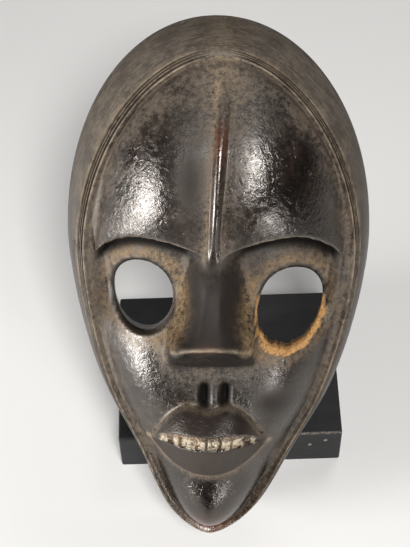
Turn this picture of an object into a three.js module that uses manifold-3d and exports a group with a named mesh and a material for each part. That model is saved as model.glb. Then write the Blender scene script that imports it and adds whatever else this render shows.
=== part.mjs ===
// A Dan mask of dark carved wood on its display stand.
// Millimetres, +Z up. The origin is the middle of the stand's underside and the mask looks along -Y.

import * as THREE from 'three';
import { mergeVertices } from 'three/addons/utils/BufferGeometryUtils.js';
import Module from 'manifold-3d';

const wasm = await Module();
wasm.setup();

// Stand: a black block with a rod set in it
const blockWidth = 112;
const blockDepth = 85;
const blockHeight = 28;
const blockEdge = 0.8;
const rodDiameter = 6;
const rodPlace = [-3.5, 12];
const rodRise = 84.5;
const rodSocketDepth = 16;
const padDiameter = 12;
const padThickness = 3;
const padGap = 1.2;
const clearance = 0.3;

// The rod forks behind the mask: where, in the mask's frame, and the levels that its two arms reach inside
const forkLevel = -5;
const forkBehind = 3;
const upperPadLevel = 58;
const lowerPadLevel = -60;

// How the mask leans back, turns to its right and rolls, in degrees
const hangLean = 36;
const hangTurn = 3.5;
const hangRoll = 3;

// Mask outline in its own frame: X right, Y up along the face, Z out of the flat back
const rim = {
  half: 69.9,
  level: 8,
  above: 97.6,
  below: 146.3,
  crown: 2.03,
  lean: -0.017,
  side: 0,
  jawShare: 0.088,
  tipShare: 0.02,
};
const contour = {
  half: 60.8,
  level: 4,
  above: 90,
  below: 139.4,
  crown: 1.82,
  lean: 0,
  side: 1.2,
  jawShare: 0.085,
  tipShare: 0.05,
};
const chinPoint = 1.6;
const chinRound = 0.62;
const chinSide = -0.9;
const chinSideFrom = -95;
const chinSideTo = -140;

// The ovals are drawn in at the jaw and fuller at the tip of the chin, by their own shares
const jawLevel = -98;
const jawWidth = 24;
const tipLevel = -127;
const tipWidth = 13;
const rimWall = 7;
const faceWall = 8;

// Height of the raised contour line over the back: at the sides, and what the crown and chin add
const contourHeight = 30;
const crownLift = 5;
const crownLiftFrom = 20;
const crownLiftTo = 96;
const chinLift = 3;
const chinLiftFrom = -70;
const chinLiftTo = -125;
const contourBead = 1.3;
const contourBeadWidth = 1.1;
const borderWidth = 3;

// Grooves that follow the contour line, by their distance outside it
const grooveDepth = 1.1;
const grooveWidth = 0.75;
const grooveSteps = [1.7, 4.1, 6.1];

// Profile of the face along its middle line: level, height over the back
const profile = [
  [94, 35], [80, 43.5], [62, 52], [45, 56.5], [28, 58.5], [12, 56], [-6, 52], [-25, 50.5],
  [-42, 51.5], [-60, 53.5], [-76, 54.5], [-92, 50.5], [-100, 48.5], [-112, 49], [-121, 47.5], [-127, 42.5],
  [-132, 33],
];
const foreheadFullness = 2.5;
const cheekFullness = 1.9;
const channelWidth = 4;
const channelFrom = 60;
const channelTo = 20;
const domeRoundness = 0.82;

// Ridge down the forehead
const ridgeLean = 0.033;
const ridgeTop = 88;
const ridgeFoot = 10;
const ridgeHeight = 3.8;
const ridgeHalfTop = 2.5;
const ridgeHalfFoot = 1.9;
const ridgeValley = 1.1;
const ridgeValleyHalf = 8;

// Brow arches and the hollows under them
const browLevel = 17.8;
const browMiddle = 31;
const browInner = 27;
const browOuter = 24;
const browInnerDrop = 7.5;
const browOuterDrop = 13;
const browSharpness = 2.4;
const socketDepth = 8;
const underBrowShare = 0.28;
const underBrowPlace = 2.5;
const underBrowWidth = 3.2;
const socketInner = [3, 15];
const socketOuter = [11, 4];
const socketFlat = 20;
const socketFade = 30;

// Eye holes: middle, half sizes, and where the right one has lost its lower rim
const eyeSquareness = 2.05;
const leftEye = { x: -32.1, y: -13.4, halfX: 14, halfY: 16, loss: 0 };
const rightEye = { x: 34.8, y: -13.8, halfX: 13.9, halfY: 15.7, loss: 6 };
const lossDirection = 252;
const lossSpread = 52;
const lossRoughness = 0.15;
const eyeSides = 32;
const cutterLength = 100;

// The features stand a little off the mask's own axis: their rise to the right
const featureTilt = 0.045;

// Nose
const noseRoot = 13;
const noseTipLevel = -26.6;
const noseBase = -42;
const noseHeight = 21;
const noseRootHeight = 1.4;
const noseRootHalf = 9;
const noseWingHalf = 21.2;
const noseWingDrop = 6.5;
const noseWingBulge = 5;
const noseWingPlace = [15.5, -33];
const noseWingSize = [4.5, 6];
const nostrilCurlDepth = 1.6;
const nostrilCurlPlace = [14.5, -30];
const nostrilCurlRadius = 6;
const nostrilCurlWidth = 1.3;

// Hollows over the lip
const philtrumTop = -50.5;
const philtrumFoot = -59.6;
const philtrumSpacing = 4.6;
const philtrumHalf = 2.2;
const philtrumDepth = 4.2;

// Mouth
const mouthMiddle = -0.8;
const mouthHalf = 27;
const mouthCorner = -82;
const upperLipTop = -60;
const upperLipPeak = 9;
const upperLipDip = 1.8;
const upperLipFoot = -70.4;
const lowerLipTop = -77.8;
const lowerLipFoot = -97.4;
const lipHeight = 11;
const lowerLipHeight = 10;
const lipStep = 1.6;
const mouthRowsEnd = -107;
const teethRecess = 4;
const teethCount = 8;
const teethGap = 0.6;

// Forehead, cheeks and chin
const foreheadSwell = 1.8;
const foreheadPlace = [23, 42];
const foreheadSize = [17, 26];
const cheekBulge = 2.6;
const cheekPlace = [33, -44];
const cheekRadius = 17;
const chinKeel = 1.4;
const chinKeelHalf = 3.5;
const chinKeelTop = -97;
const chinKeelFoot = -132;

// Holes for ties round the crown
const tieHoleDiameter = 2.2;
const tieHoleHeight = 7;
const tieHoleSpacing = 19.7;
const tieHolesPerSide = 5;
const drillLength = 24;
const tieHoleStarts = [[17, -1], [3, 1]];

// The hollow follows the face, with room for the nose and the mouth
const hollowNose = { rise: 9, half: 11, level: -22, length: 16 };
const hollowMouth = { rise: 4, half: 18, level: -75, length: 14 };
const hollowSocketShare = 0.75;
const hollowLeast = 4;
const cutPast = 5;

// How finely the carving is cut into faces
const columns = [0, 0.035, 0.07, 0.115, 0.17, 0.235, 0.31, 0.39, 0.47, 0.55, 0.64, 0.73, 0.82, 0.91, 1];
const fineRow = 2.1;
const coarseRow = 7;
const bandRings = 4;
const hollowColumns = 16;
const hollowRows = 20;
const hollowRings = 3;
const lowCornerTurn = 65;
const highCornerTurn = 55;

const degrees = Math.PI / 180;
const lowCorner = lowCornerTurn * degrees;
const highCorner = highCornerTurn * degrees;

function smooth(from, to, value) {
  const t = Math.min(1, Math.max(0, (value - from) / (to - from)));
  return t * t * (3 - 2 * t);
}

function bell(value, width) {
  return Math.exp(-((value / width) ** 2));
}

// A pointed oval: its point at a turn of phi, and its half width at a level
function ovalPoint(oval, phi) {
  const c = Math.cos(phi);
  const s = Math.sin(phi);
  const power = s >= 0 ? 2 / oval.crown : 2 * chinRound;
  const rise = s >= 0 ? oval.above * Math.pow(s, 2 / oval.crown) : -oval.below * Math.pow(-s, 2 / chinPoint);
  const y = oval.level + rise;
  const half = oval.half * Math.pow(Math.abs(c), power) * jawAt(oval, y);
  return [Math.sign(c) * half + ovalMiddle(oval, y), y];
}

// The carver's line wanders a little: how far the middle of an oval lies to the right at a level
function ovalMiddle(oval, y) {
  return oval.lean * y + oval.side + chinSide * smooth(chinSideFrom, chinSideTo, y);
}

function jawAt(oval, y) {
  return 1 - oval.jawShare * bell(y - jawLevel, jawWidth) + oval.tipShare * bell(y - tipLevel, tipWidth);
}

function ovalHalf(oval, y) {
  if (y >= oval.level) {
    const t = Math.min(1, (y - oval.level) / oval.above);
    return oval.half * Math.pow(1 - Math.pow(t, oval.crown), 1 / oval.crown);
  }
  const t = Math.min(1, (oval.level - y) / oval.below);
  return oval.half * Math.pow(1 - Math.pow(t, chinPoint), chinRound) * jawAt(oval, y);
}

function insetOval(oval, inset) {
  return {
    ...oval,
    half: oval.half - inset,
    above: oval.above - inset,
    below: oval.below - inset * 1.6,
  };
}

function contourZ(y) {
  const crown = crownLift * smooth(crownLiftFrom, crownLiftTo, y) ** 1.2;
  return contourHeight + crown + chinLift * smooth(chinLiftFrom, chinLiftTo, y);
}

// A smooth curve through the named stations of the profile
function profileZ(y) {
  const last = profile.length - 1;
  if (y >= profile[0][0]) return profile[0][1];
  if (y <= profile[last][0]) return profile[last][1];
  let k = 0;
  while (y < profile[k + 1][0]) k += 1;
  const before = profile[Math.max(0, k - 1)];
  const [y0, z0] = profile[k];
  const [y1, z1] = profile[k + 1];
  const after = profile[Math.min(last, k + 2)];
  const m0 = (z1 - before[1]) / (y1 - before[0]);
  const m1 = (after[1] - z0) / (after[0] - y0);
  const d = y1 - y0;
  const t = (y - y0) / d;
  const a = (1 + 2 * t) * (1 - t) ** 2 * z0 + t * (1 - t) ** 2 * d * m0;
  return a + t * t * (3 - 2 * t) * z1 + t * t * (t - 1) * d * m1;
}

// The plain dome of the face inside the contour line, without its features
function domeZ(x, y) {
  const half = Math.max(1, ovalHalf(contour, y));
  const across = Math.abs(x - ovalMiddle(contour, y));
  const formHalf = Math.max(0.6, half - channelWidth * smooth(channelFrom, channelTo, y) - 0.6);
  const s = Math.min(1, across / formHalf);
  const fullness = cheekFullness + (foreheadFullness - cheekFullness) * smooth(-30, 20, y);
  const edge = contourZ(y);
  return edge + (profileZ(y) - edge) * Math.pow(1 - Math.pow(s, fullness), domeRoundness);
}

function ridgeZ(x, y) {
  const along = smooth(ridgeTop, ridgeTop - 32, y) * smooth(ridgeFoot - 6, ridgeFoot + 2, y);
  const down = smooth(ridgeTop - 20, ridgeFoot, y);
  const half = ridgeHalfTop + (ridgeHalfFoot - ridgeHalfTop) * down;
  const aside = x - ridgeLean * (y - ridgeFoot);
  const t = Math.min(1, Math.abs(aside) / half);
  const valley = ridgeValley * bell(aside, ridgeValleyHalf) * smooth(ridgeTop, ridgeTop - 25, y);
  return along * ridgeHeight * Math.sqrt(1 - t * t) - valley * smooth(ridgeFoot, ridgeFoot + 12, y);
}

function browY(x) {
  const away = Math.abs(x) - browMiddle;
  const level = browLevel + featureTilt * x;
  if (away < 0) return level - browInnerDrop * Math.pow(-away / browInner, 2);
  return level - browOuterDrop * Math.pow(Math.min(1.1, away / browOuter), 2);
}

function socketZ(x, y) {
  const across = Math.abs(x);
  const below = browY(x) - y;
  const half = ovalHalf(contour, y);
  const inner = smooth(...socketInner, across);
  const outer = 1 - smooth(half - socketOuter[0], half - socketOuter[1], across);
  const down = smooth(-browSharpness / 2, browSharpness / 2, below);
  const fade = 1 - smooth(socketFlat, socketFlat + socketFade, below);
  const groove = 1 + underBrowShare * bell(below - underBrowPlace, underBrowWidth);
  return -socketDepth * inner * outer * down * fade * groove;
}

function noseZ(x, y) {
  const across = Math.abs(x);
  const t = Math.min(1, Math.max(0, (noseRoot + 8 - y) / (noseRoot + 8 - noseTipLevel)));
  const half = noseRootHalf + (noseWingHalf - noseRootHalf) * Math.pow(t, 1.2);
  const s = Math.min(1, across / half);
  const height = noseRootHeight * smooth(0, 0.3, t) + (noseHeight - noseRootHeight) * Math.pow(t, 1.6);
  const section = Math.pow(1 - Math.pow(s, 2.1 + 1.4 * t ** 4), 1.5 - 0.35 * t ** 3);
  const wingAcross = bell(across - noseWingPlace[0], noseWingSize[0]);
  const wing = noseWingBulge * wingAcross * bell(y - noseWingPlace[1], noseWingSize[1]);
  const [curlX, curlY] = nostrilCurlPlace;
  const ring = Math.hypot(across - curlX, (y - curlY) * 0.8) - nostrilCurlRadius;
  const curl = nostrilCurlDepth * bell(ring, nostrilCurlWidth) * smooth(curlX - 5.5, curlX - 1.5, across);
  const edge = noseTipLevel - noseWingDrop * (across / noseWingHalf) ** 2;
  const under = Math.min(1, Math.max(0, (y - noseBase) / (edge - noseBase)));
  return (height * section + wing - curl * smooth(0.5, 0.9, t)) * under;
}

function philtrumZ(x, y) {
  const across = Math.abs(x - mouthMiddle);
  const along = smooth(philtrumTop + 2, philtrumTop - 2, y) * smooth(philtrumFoot - 1, philtrumFoot + 1, y);
  return -philtrumDepth * along * bell(across - philtrumSpacing, philtrumHalf);
}

// The four edges of the mouth, by their level at a distance from its middle
function mouthEdges(across) {
  const t = Math.min(1, across / mouthHalf);
  const out = Math.min(1, Math.max(0, (across - upperLipPeak) / (mouthHalf - upperLipPeak)));
  const dip = upperLipDip * bell(across, upperLipPeak * 0.55);
  return {
    top: upperLipTop - dip + (mouthCorner - upperLipTop) * Math.pow(out, 1.9),
    upper: upperLipFoot + (mouthCorner - upperLipFoot) * t ** 3,
    lower: lowerLipTop + (mouthCorner - lowerLipTop) * t ** 3,
    foot: lowerLipFoot + (mouthCorner - lowerLipFoot) * t ** 1.9,
  };
}

function toothZ(x) {
  const pitch = (mouthHalf * 1.7) / teethCount;
  const t = Math.abs(((x / pitch) % 1 + 1) % 1 - 0.5) * 2;
  return -teethGap * smooth(0.65, 1, t);
}

function mouthZ(x, y) {
  const across = Math.abs(x - mouthMiddle);
  if (across >= mouthHalf) return 0;
  const edges = mouthEdges(across);
  const fall = Math.pow(1 - (across / mouthHalf) ** 2, 0.75);
  if (y > edges.top || y < edges.foot) return 0;
  const step = lipStep * Math.sqrt(fall);
  if (y >= edges.upper) {
    const v = (edges.top - y) / Math.max(0.1, edges.top - edges.upper);
    return step * smooth(0, 0.1, v) + (lipHeight * fall - step) * Math.pow(v, 0.7);
  }
  if (y <= edges.lower) {
    const v = (y - edges.foot) / Math.max(0.1, edges.lower - edges.foot);
    return step * smooth(0, 0.08, v) + (lowerLipHeight * fall - step) * v;
  }
  const inside = Math.min(edges.upper - y, y - edges.lower);
  const recess = teethRecess * fall * smooth(0, 1.2, inside);
  const teeth = toothZ(x - mouthMiddle) * fall;
  return (y > (edges.upper + edges.lower) / 2 ? lipHeight : lowerLipHeight) * fall - recess + teeth;
}

function cheekZ(x, y) {
  const across = Math.abs(x) - cheekPlace[0];
  return cheekBulge * bell(Math.hypot(across, (y - cheekPlace[1]) * 0.75), cheekRadius);
}

function chinZ(x, y) {
  const along = smooth(chinKeelTop, chinKeelTop - 15, y) * smooth(chinKeelFoot, chinKeelFoot + 8, y);
  return chinKeel * bell(x, chinKeelHalf) * along;
}

// Forehead: each half swells a little
function foreheadZ(x, y) {
  const across = bell(Math.abs(x) - foreheadPlace[0], foreheadSize[0]);
  return foreheadSwell * across * bell(y - foreheadPlace[1], foreheadSize[1]);
}

// Finished height of the face at a place
function faceZ(x, y) {
  const level = y - featureTilt * x;
  const lower = noseZ(x, level) + philtrumZ(x, level) + mouthZ(x, level);
  const features = ridgeZ(x, y) + socketZ(x, y) + lower;
  return domeZ(x, y) + features + foreheadZ(x, y) + cheekZ(x, y) + chinZ(x, y);
}

function hollowZ(x, y) {
  const room = (form) => form.rise * bell(x, form.half) * bell(y - form.level, form.length);
  const socket = hollowSocketShare * socketZ(x, y - 2);
  return Math.max(hollowLeast, domeZ(x, y) - faceWall + room(hollowNose) + room(hollowMouth) + socket);
}

// Unit vector out of an oval at a turn of phi
function ovalNormal(oval, phi) {
  const step = 0.02;
  const [x0, y0] = ovalPoint(oval, phi - step);
  const [x1, y1] = ovalPoint(oval, phi + step);
  const length = Math.hypot(x1 - x0, y1 - y0);
  return [(y1 - y0) / length, (x0 - x1) / length];
}

function phiAtLevel(oval, y) {
  if (y >= oval.level) {
    return Math.asin(Math.min(1, Math.pow((y - oval.level) / oval.above, oval.crown / 2)));
  }
  return -Math.asin(Math.min(1, Math.pow((oval.level - y) / oval.below, chinPoint / 2)));
}

// How strongly the contour line is cut at a turn of phi: it fades out in the middle of the crown
function lineStrength(phi) {
  return phi > 0 ? smooth(3, 15, Math.abs(ovalPoint(contour, phi)[0])) : 1;
}

// A point of the side band, from the contour line (u = 0) round to the flat back (u = 1)
function bandPoint(phi, u) {
  const [kx, ky] = ovalPoint(contour, phi);
  const [mx, my] = ovalPoint(rim, phi);
  const [nx, ny] = ovalNormal(contour, phi);
  const reach = Math.max(1, Math.hypot(mx - kx, my - ky));
  const height = contourZ(ky);
  const out = Math.sin((u * Math.PI) / 2);
  const up = Math.cos((u * Math.PI) / 2);
  const walked = u * bandLength(phi);
  const strength = lineStrength(phi);
  const lower = 0.35 + 0.65 * smooth(-0.3, 0.3, Math.sin(phi));
  let cut = 0;
  for (const step of grooveSteps) {
    cut += grooveDepth * bell(walked - step, grooveWidth) * lower;
  }
  const lift = (contourBead * bell(walked, contourBeadWidth) - cut) * strength;
  const side = out / reach;
  const front = Math.max(up, 0.02) / height;
  const length = Math.hypot(side, front);
  return [
    kx + (mx - kx) * out + (lift * nx * side) / length,
    ky + (my - ky) * out + (lift * ny * side) / length,
    height * up + (lift * front) / length,
  ];
}

function bandLength(phi) {
  const [kx, ky] = ovalPoint(contour, phi);
  const [mx, my] = ovalPoint(rim, phi);
  const reach = Math.hypot(mx - kx, my - ky);
  const height = contourZ(ky);
  return Math.hypot(reach, height) + 0.4 * Math.min(reach, height);
}

// Rows and columns that fill an oval, and the loop of turns round its edge
function ovalGrid(oval, halfColumns, rowShares) {
  const shares = [...halfColumns.slice(1).reverse().map((a) => -a), ...halfColumns];
  const yLow = ovalPoint(oval, -lowCorner)[1];
  const yHigh = ovalPoint(oval, highCorner)[1];
  const bottomPhi = (a) => -Math.PI / 2 + a * (Math.PI / 2 - lowCorner);
  const topPhi = (a) => Math.PI / 2 - a * (Math.PI / 2 - highCorner);
  const sidePhi = (v) => phiAtLevel(oval, yLow + v * (yHigh - yLow));
  const blend = (a, v, axis) => {
    const u = (a + 1) / 2;
    const across = (1 - v) * ovalPoint(oval, bottomPhi(a))[axis] + v * ovalPoint(oval, topPhi(a))[axis];
    const left = ovalPoint(oval, Math.PI - sidePhi(v))[axis];
    const right = ovalPoint(oval, sidePhi(v))[axis];
    const lowPair = (1 - u) * ovalPoint(oval, bottomPhi(-1))[axis] + u * ovalPoint(oval, bottomPhi(1))[axis];
    const highPair = (1 - u) * ovalPoint(oval, topPhi(-1))[axis] + u * ovalPoint(oval, topPhi(1))[axis];
    return across + (1 - u) * left + u * right - (1 - v) * lowPair - v * highPair;
  };
  const places = rowShares.map((v) => shares.map((a) => [blend(a, v, 0), blend(a, v, 1)]));
  const turns = [
    ...shares.map(bottomPhi),
    ...rowShares.slice(1, -1).map(sidePhi),
    ...shares.map(topPhi).reverse(),
    ...rowShares.slice(1, -1).map((v) => Math.PI - sidePhi(v)).reverse(),
  ];
  return { places, turns };
}

// Moves a place of the grid so that its rows run along the brows and the edges of the mouth
function followLines(x, y) {
  const brow = (browLevel - browY(x)) * bell(y - browLevel, 20);
  const across = Math.abs(x - mouthMiddle);
  const edges = mouthEdges(Math.min(across, mouthHalf * 0.88));
  const tilt = featureTilt * x;
  const knots = [
    [philtrumTop, philtrumTop], [upperLipTop, edges.top + tilt], [upperLipFoot, edges.upper + tilt],
    [lowerLipTop, edges.lower + tilt], [lowerLipFoot, edges.foot + tilt], [mouthRowsEnd, mouthRowsEnd],
  ];
  const pull = 1 - smooth(mouthHalf * 0.88, mouthHalf * 1.6, across);
  let mouth = 0;
  for (let k = 0; k < knots.length - 1; k += 1) {
    const [above, to] = knots[k];
    const [below, toBelow] = knots[k + 1];
    if (y <= above && y > below) {
      const t = (above - y) / (above - below);
      mouth = (to + (toBelow - to) * t - y) * pull;
    }
  }
  return [x, y - brow + mouth];
}

// Gathers points and faces, quad by quad
class Skin {
  constructor() {
    this.points = [];
    this.faces = [];
  }

  add(point) {
    this.points.push(point);
    return this.points.length - 1;
  }

  quad(a, b, c, d) {
    const distance = (i, j) => Math.hypot(...this.points[i].map((value, k) => value - this.points[j][k]));
    if (distance(a, c) <= distance(b, d)) {
      this.faces.push([a, b, c], [a, c, d]);
    } else {
      this.faces.push([a, b, d], [b, c, d]);
    }
  }

  // Lays a grid of points and returns the loop round its edge, counterclockwise seen from the front
  grid(rows) {
    const ids = rows.map((row) => row.map((point) => this.add(point)));
    const last = ids.length - 1;
    const end = ids[0].length - 1;
    for (let j = 0; j < last; j += 1) {
      for (let i = 0; i < end; i += 1) {
        this.quad(ids[j][i], ids[j][i + 1], ids[j + 1][i + 1], ids[j + 1][i]);
      }
    }
    return [
      ...ids[0],
      ...ids.slice(1, last).map((row) => row[end]),
      ...[...ids[last]].reverse(),
      ...ids.slice(1, last).map((row) => row[0]).reverse(),
    ];
  }

  // Joins a loop to a new loop outside it
  ring(loop, points) {
    const next = points.map((point) => this.add(point));
    loop.forEach((id, k) => {
      const after = (k + 1) % loop.length;
      this.quad(id, next[k], next[after], loop[after]);
    });
    return next;
  }

  cap(loop, middle) {
    const hub = this.add(middle);
    loop.forEach((id, k) => this.faces.push([id, hub, loop[(k + 1) % loop.length]]));
  }

  geometry() {
    const geometry = new THREE.BufferGeometry();
    geometry.setAttribute('position', new THREE.Float32BufferAttribute(this.points.flat(), 3));
    geometry.setIndex(this.faces.flat());
    return geometry;
  }
}

function toSolid(geometry) {
  const bare = geometry.clone();
  bare.deleteAttribute('normal');
  bare.deleteAttribute('uv');
  const merged = mergeVertices(bare, 1e-4);
  return new wasm.Manifold(new wasm.Mesh({
    numProp: 3,
    vertProperties: new Float32Array(merged.attributes.position.array),
    triVerts: new Uint32Array(merged.index.array),
  }));
}

function toGeometry(solid) {
  const mesh = solid.getMesh();
  const geometry = new THREE.BufferGeometry();
  geometry.setAttribute('position', new THREE.Float32BufferAttribute(mesh.vertProperties, 3));
  geometry.setIndex([...mesh.triVerts]);
  geometry.computeVertexNormals();
  return geometry;
}

// Row levels that stand closer together round the edges of the brows, nose and mouth
function rowShares(oval, fine, coarse) {
  const low = ovalPoint(oval, -Math.PI / 2)[1];
  const high = ovalPoint(oval, Math.PI / 2)[1];
  const edges = [
    browLevel, browLevel - browSharpness, noseTipLevel, noseBase,
    upperLipTop, upperLipFoot, lowerLipTop, lowerLipFoot,
  ];
  const levels = [low];
  while (levels[levels.length - 1] < high) {
    const y = levels[levels.length - 1];
    const near = Math.min(...edges.map((edge) => Math.abs(edge - y - fine)));
    levels.push(y + fine + (coarse - fine) * smooth(1, 11, near));
  }
  const scale = (high - low) / (levels[levels.length - 1] - low);
  return levels.map((y) => ((y - low) * scale) / (high - low));
}

function maskOuter() {
  const inner = insetOval(contour, borderWidth);
  const grid = ovalGrid(inner, columns, rowShares(inner, fineRow, coarseRow));
  const skin = new Skin();
  const last = grid.places.length - 1;
  const end = grid.places[0].length - 1;
  const face = grid.places.map((row, j) => row.map((place, i) => {
    const edge = j === 0 || j === last || i === 0 || i === end;
    const [x, y] = edge ? place : followLines(...place);
    return [x, y, faceZ(x, y)];
  }));
  let loop = skin.grid(face);
  const border = grid.turns.map((phi) => {
    const [ix, iy] = ovalPoint(inner, phi);
    const [kx, ky] = ovalPoint(contour, phi);
    const bead = contourBead * bell(borderWidth / 2, contourBeadWidth) * lineStrength(phi);
    return [(ix + kx) / 2, (iy + ky) / 2, contourZ((iy + ky) / 2) + bead];
  });
  loop = skin.ring(loop, border);
  const [first, second, third] = grooveSteps;
  const near = [0, first, (first + second) / 2, second, (second + third) / 2, third, third + 1.6];
  for (const walked of near) {
    loop = skin.ring(loop, grid.turns.map((phi) => bandPoint(phi, walked / bandLength(phi))));
  }
  const start = near[near.length - 1];
  for (let k = 1; k <= bandRings; k += 1) {
    const points = grid.turns.map((phi) => {
      const from = start / bandLength(phi);
      return bandPoint(phi, from + ((1 - from) * k) / bandRings);
    });
    points.forEach((point) => {
      point[2] = k === bandRings ? 0 : point[2];
    });
    loop = skin.ring(loop, points);
  }
  skin.cap(loop, [0, rim.level, 0]);
  return toSolid(skin.geometry());
}

function maskHollow() {
  const top = insetOval(contour, rimWall - 1);
  const back = insetOval(rim, rimWall);
  const shares = Array.from({ length: hollowRows + 1 }, (_, k) => k / hollowRows);
  const half = Array.from({ length: hollowColumns / 2 + 1 }, (_, k) => (2 * k) / hollowColumns);
  const grid = ovalGrid(top, half, shares);
  const skin = new Skin();
  let loop = skin.grid(grid.places.map((row) => row.map(([x, y]) => [x, y, hollowZ(x, y)])));
  for (let k = 1; k <= hollowRings + 1; k += 1) {
    const points = grid.turns.map((phi) => {
      const [kx, ky] = ovalPoint(top, phi);
      const [mx, my] = ovalPoint(back, phi);
      const u = Math.min(1, k / hollowRings);
      const z = k > hollowRings ? -cutPast : hollowZ(kx, ky) * Math.cos((u * Math.PI) / 2) ** 0.8;
      const out = Math.sin((u * Math.PI) / 2);
      return [kx + (mx - kx) * out, ky + (my - ky) * out, z];
    });
    loop = skin.ring(loop, points);
  }
  skin.cap(loop, [0, rim.level, -cutPast]);
  return toSolid(skin.geometry());
}

// The cutter of one eye hole; the right one widens where its rim broke away
function eyeCutter(eye) {
  const shape = new THREE.Shape();
  for (let k = 0; k < eyeSides; k += 1) {
    const turn = (2 * Math.PI * k) / eyeSides;
    const c = Math.cos(turn);
    const s = Math.sin(turn);
    const square = Math.pow(Math.abs(c) ** eyeSquareness + Math.abs(s) ** eyeSquareness, -1 / eyeSquareness);
    let away = Math.abs((k * 360) / eyeSides - lossDirection);
    away = Math.min(away, 360 - away);
    const ragged = 1 + lossRoughness * Math.sin(turn * 9) * Math.sin(turn * 5 + 1);
    const loss = eye.loss * bell(away, lossSpread) * ragged;
    const x = eye.x + c * square * eye.halfX + c * loss;
    const y = eye.y + s * square * eye.halfY + s * loss;
    if (k === 0) {
      shape.moveTo(x, y);
    } else {
      shape.lineTo(x, y);
    }
  }
  const cutter = new THREE.ExtrudeGeometry(shape, { depth: cutterLength, bevelEnabled: false });
  return toSolid(cutter);
}

// Small holes drilled through the side near the back, by the distance walked round the rim
function tieHoles() {
  const holes = [];
  for (const [first, side] of tieHoleStarts) {
    for (let k = 0; k < tieHolesPerSide; k += 1) {
      const phi = walkedTurn(first + k * tieHoleSpacing, side);
      const [x, y] = ovalPoint(rim, phi);
      const [nx, ny] = ovalNormal(rim, phi);
      const drill = new THREE.CylinderGeometry(tieHoleDiameter / 2, tieHoleDiameter / 2, drillLength, 6);
      drill.rotateZ(Math.atan2(ny, nx) - Math.PI / 2);
      drill.translate(x, y, tieHoleHeight);
      holes.push(toSolid(drill));
    }
  }
  return holes;
}

// The turn of phi reached after a distance walked round the rim from the top, right (1) or left (-1)
function walkedTurn(distance, side) {
  const step = 0.004;
  let phi = Math.PI / 2;
  let walked = 0;
  while (walked < distance) {
    const [x0, y0] = ovalPoint(rim, phi);
    phi -= side * step;
    const [x1, y1] = ovalPoint(rim, phi);
    walked += Math.hypot(x1 - x0, y1 - y0);
  }
  return phi;
}

function carveMask() {
  let mask = maskOuter().subtract(maskHollow());
  for (const cutter of [eyeCutter(leftEye), eyeCutter(rightEye), ...tieHoles()]) {
    mask = mask.subtract(cutter);
  }
  return toGeometry(mask);
}

function block() {
  const halfWidth = blockWidth / 2 - blockEdge;
  const halfDepth = blockDepth / 2 - blockEdge;
  const plan = new THREE.Shape([
    new THREE.Vector2(-halfWidth, -halfDepth),
    new THREE.Vector2(halfWidth, -halfDepth),
    new THREE.Vector2(halfWidth, halfDepth),
    new THREE.Vector2(-halfWidth, halfDepth),
  ]);
  const body = new THREE.ExtrudeGeometry(plan, {
    depth: blockHeight - 2 * blockEdge,
    bevelEnabled: true,
    bevelThickness: blockEdge,
    bevelSize: blockEdge,
    bevelSegments: 2,
  });
  body.translate(0, 0, blockEdge);
  const socket = bar(
    new THREE.Vector3(...rodPlace, blockHeight - rodSocketDepth),
    new THREE.Vector3(...rodPlace, blockHeight + 5),
    rodDiameter / 2 + clearance,
  );
  return toGeometry(toSolid(body).subtract(toSolid(socket)));
}

// A round bar between two points
function bar(from, to, radius, sides = 16) {
  const length = from.distanceTo(to);
  const geometry = new THREE.CylinderGeometry(radius, radius, length, sides);
  const along = to.clone().sub(from).normalize();
  geometry.applyQuaternion(new THREE.Quaternion().setFromUnitVectors(new THREE.Vector3(0, 1, 0), along));
  const middle = from.clone().add(to).multiplyScalar(0.5);
  return geometry.translate(middle.x, middle.y, middle.z);
}

// Where a pad rests against the inside of the mask, and the way it faces, in the mask's frame
function padRest(level) {
  const step = 2;
  const slopeX = (hollowZ(step, level) - hollowZ(-step, level)) / (2 * step);
  const slopeY = (hollowZ(0, level + step) - hollowZ(0, level - step)) / (2 * step);
  const normal = new THREE.Vector3(-slopeX, -slopeY, 1).normalize();
  const place = new THREE.Vector3(0, level, hollowZ(0, level));
  return { normal, place };
}

// The rod in the frame of its fork: a post down into the block, two arms and a pad at the end of each
function rod(turn) {
  const radius = rodDiameter / 2;
  const origin = new THREE.Vector3();
  const foot = new THREE.Vector3(0, 0, -rodRise - rodSocketDepth + clearance);
  const knuckle = toSolid(new THREE.SphereGeometry(radius * 1.15, 16, 10));
  let solid = toSolid(bar(foot, origin, radius)).add(knuckle);
  for (const level of [upperPadLevel, lowerPadLevel]) {
    const { normal, place } = padRest(level);
    const face = place.clone().addScaledVector(normal, -padGap);
    const back = face.clone().addScaledVector(normal, -padThickness);
    for (const point of [face, back]) {
      point.add(new THREE.Vector3(0, -forkLevel, forkBehind)).applyMatrix4(turn);
    }
    const arm = bar(origin, back.clone().lerp(face, 0.5), radius);
    solid = solid.add(toSolid(arm)).add(toSolid(bar(back, face, padDiameter / 2, 20)));
  }
  return toGeometry(solid);
}

function finish(geometry, name, colour, roughness, metalness) {
  const material = new THREE.MeshStandardMaterial({ color: colour, roughness, metalness });
  const mesh = new THREE.Mesh(geometry, material);
  mesh.name = name;
  return mesh;
}

// The mask stands upright in its own group, then rolls, turns and leans about the fork
const upright = new THREE.Group();
upright.rotation.set(Math.PI / 2, 0, 0);
const turned = new THREE.Group();
turned.rotation.z = -hangTurn * degrees;
const leaning = new THREE.Group();
leaning.rotation.x = -hangLean * degrees;
const rolled = new THREE.Group();
rolled.rotation.z = -hangRoll * degrees;
leaning.add(turned);
turned.add(upright);
upright.add(rolled);
leaning.updateMatrixWorld(true);

const stand = finish(block(), 'stand_block', 0x16171a, 0.45, 0);
const post = finish(rod(rolled.matrixWorld.clone()), 'stand_rod', 0x1b1b1c, 0.5, 0.6);
const mask = finish(carveMask(), 'mask', 0x2b231d, 0.38, 0);

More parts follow.
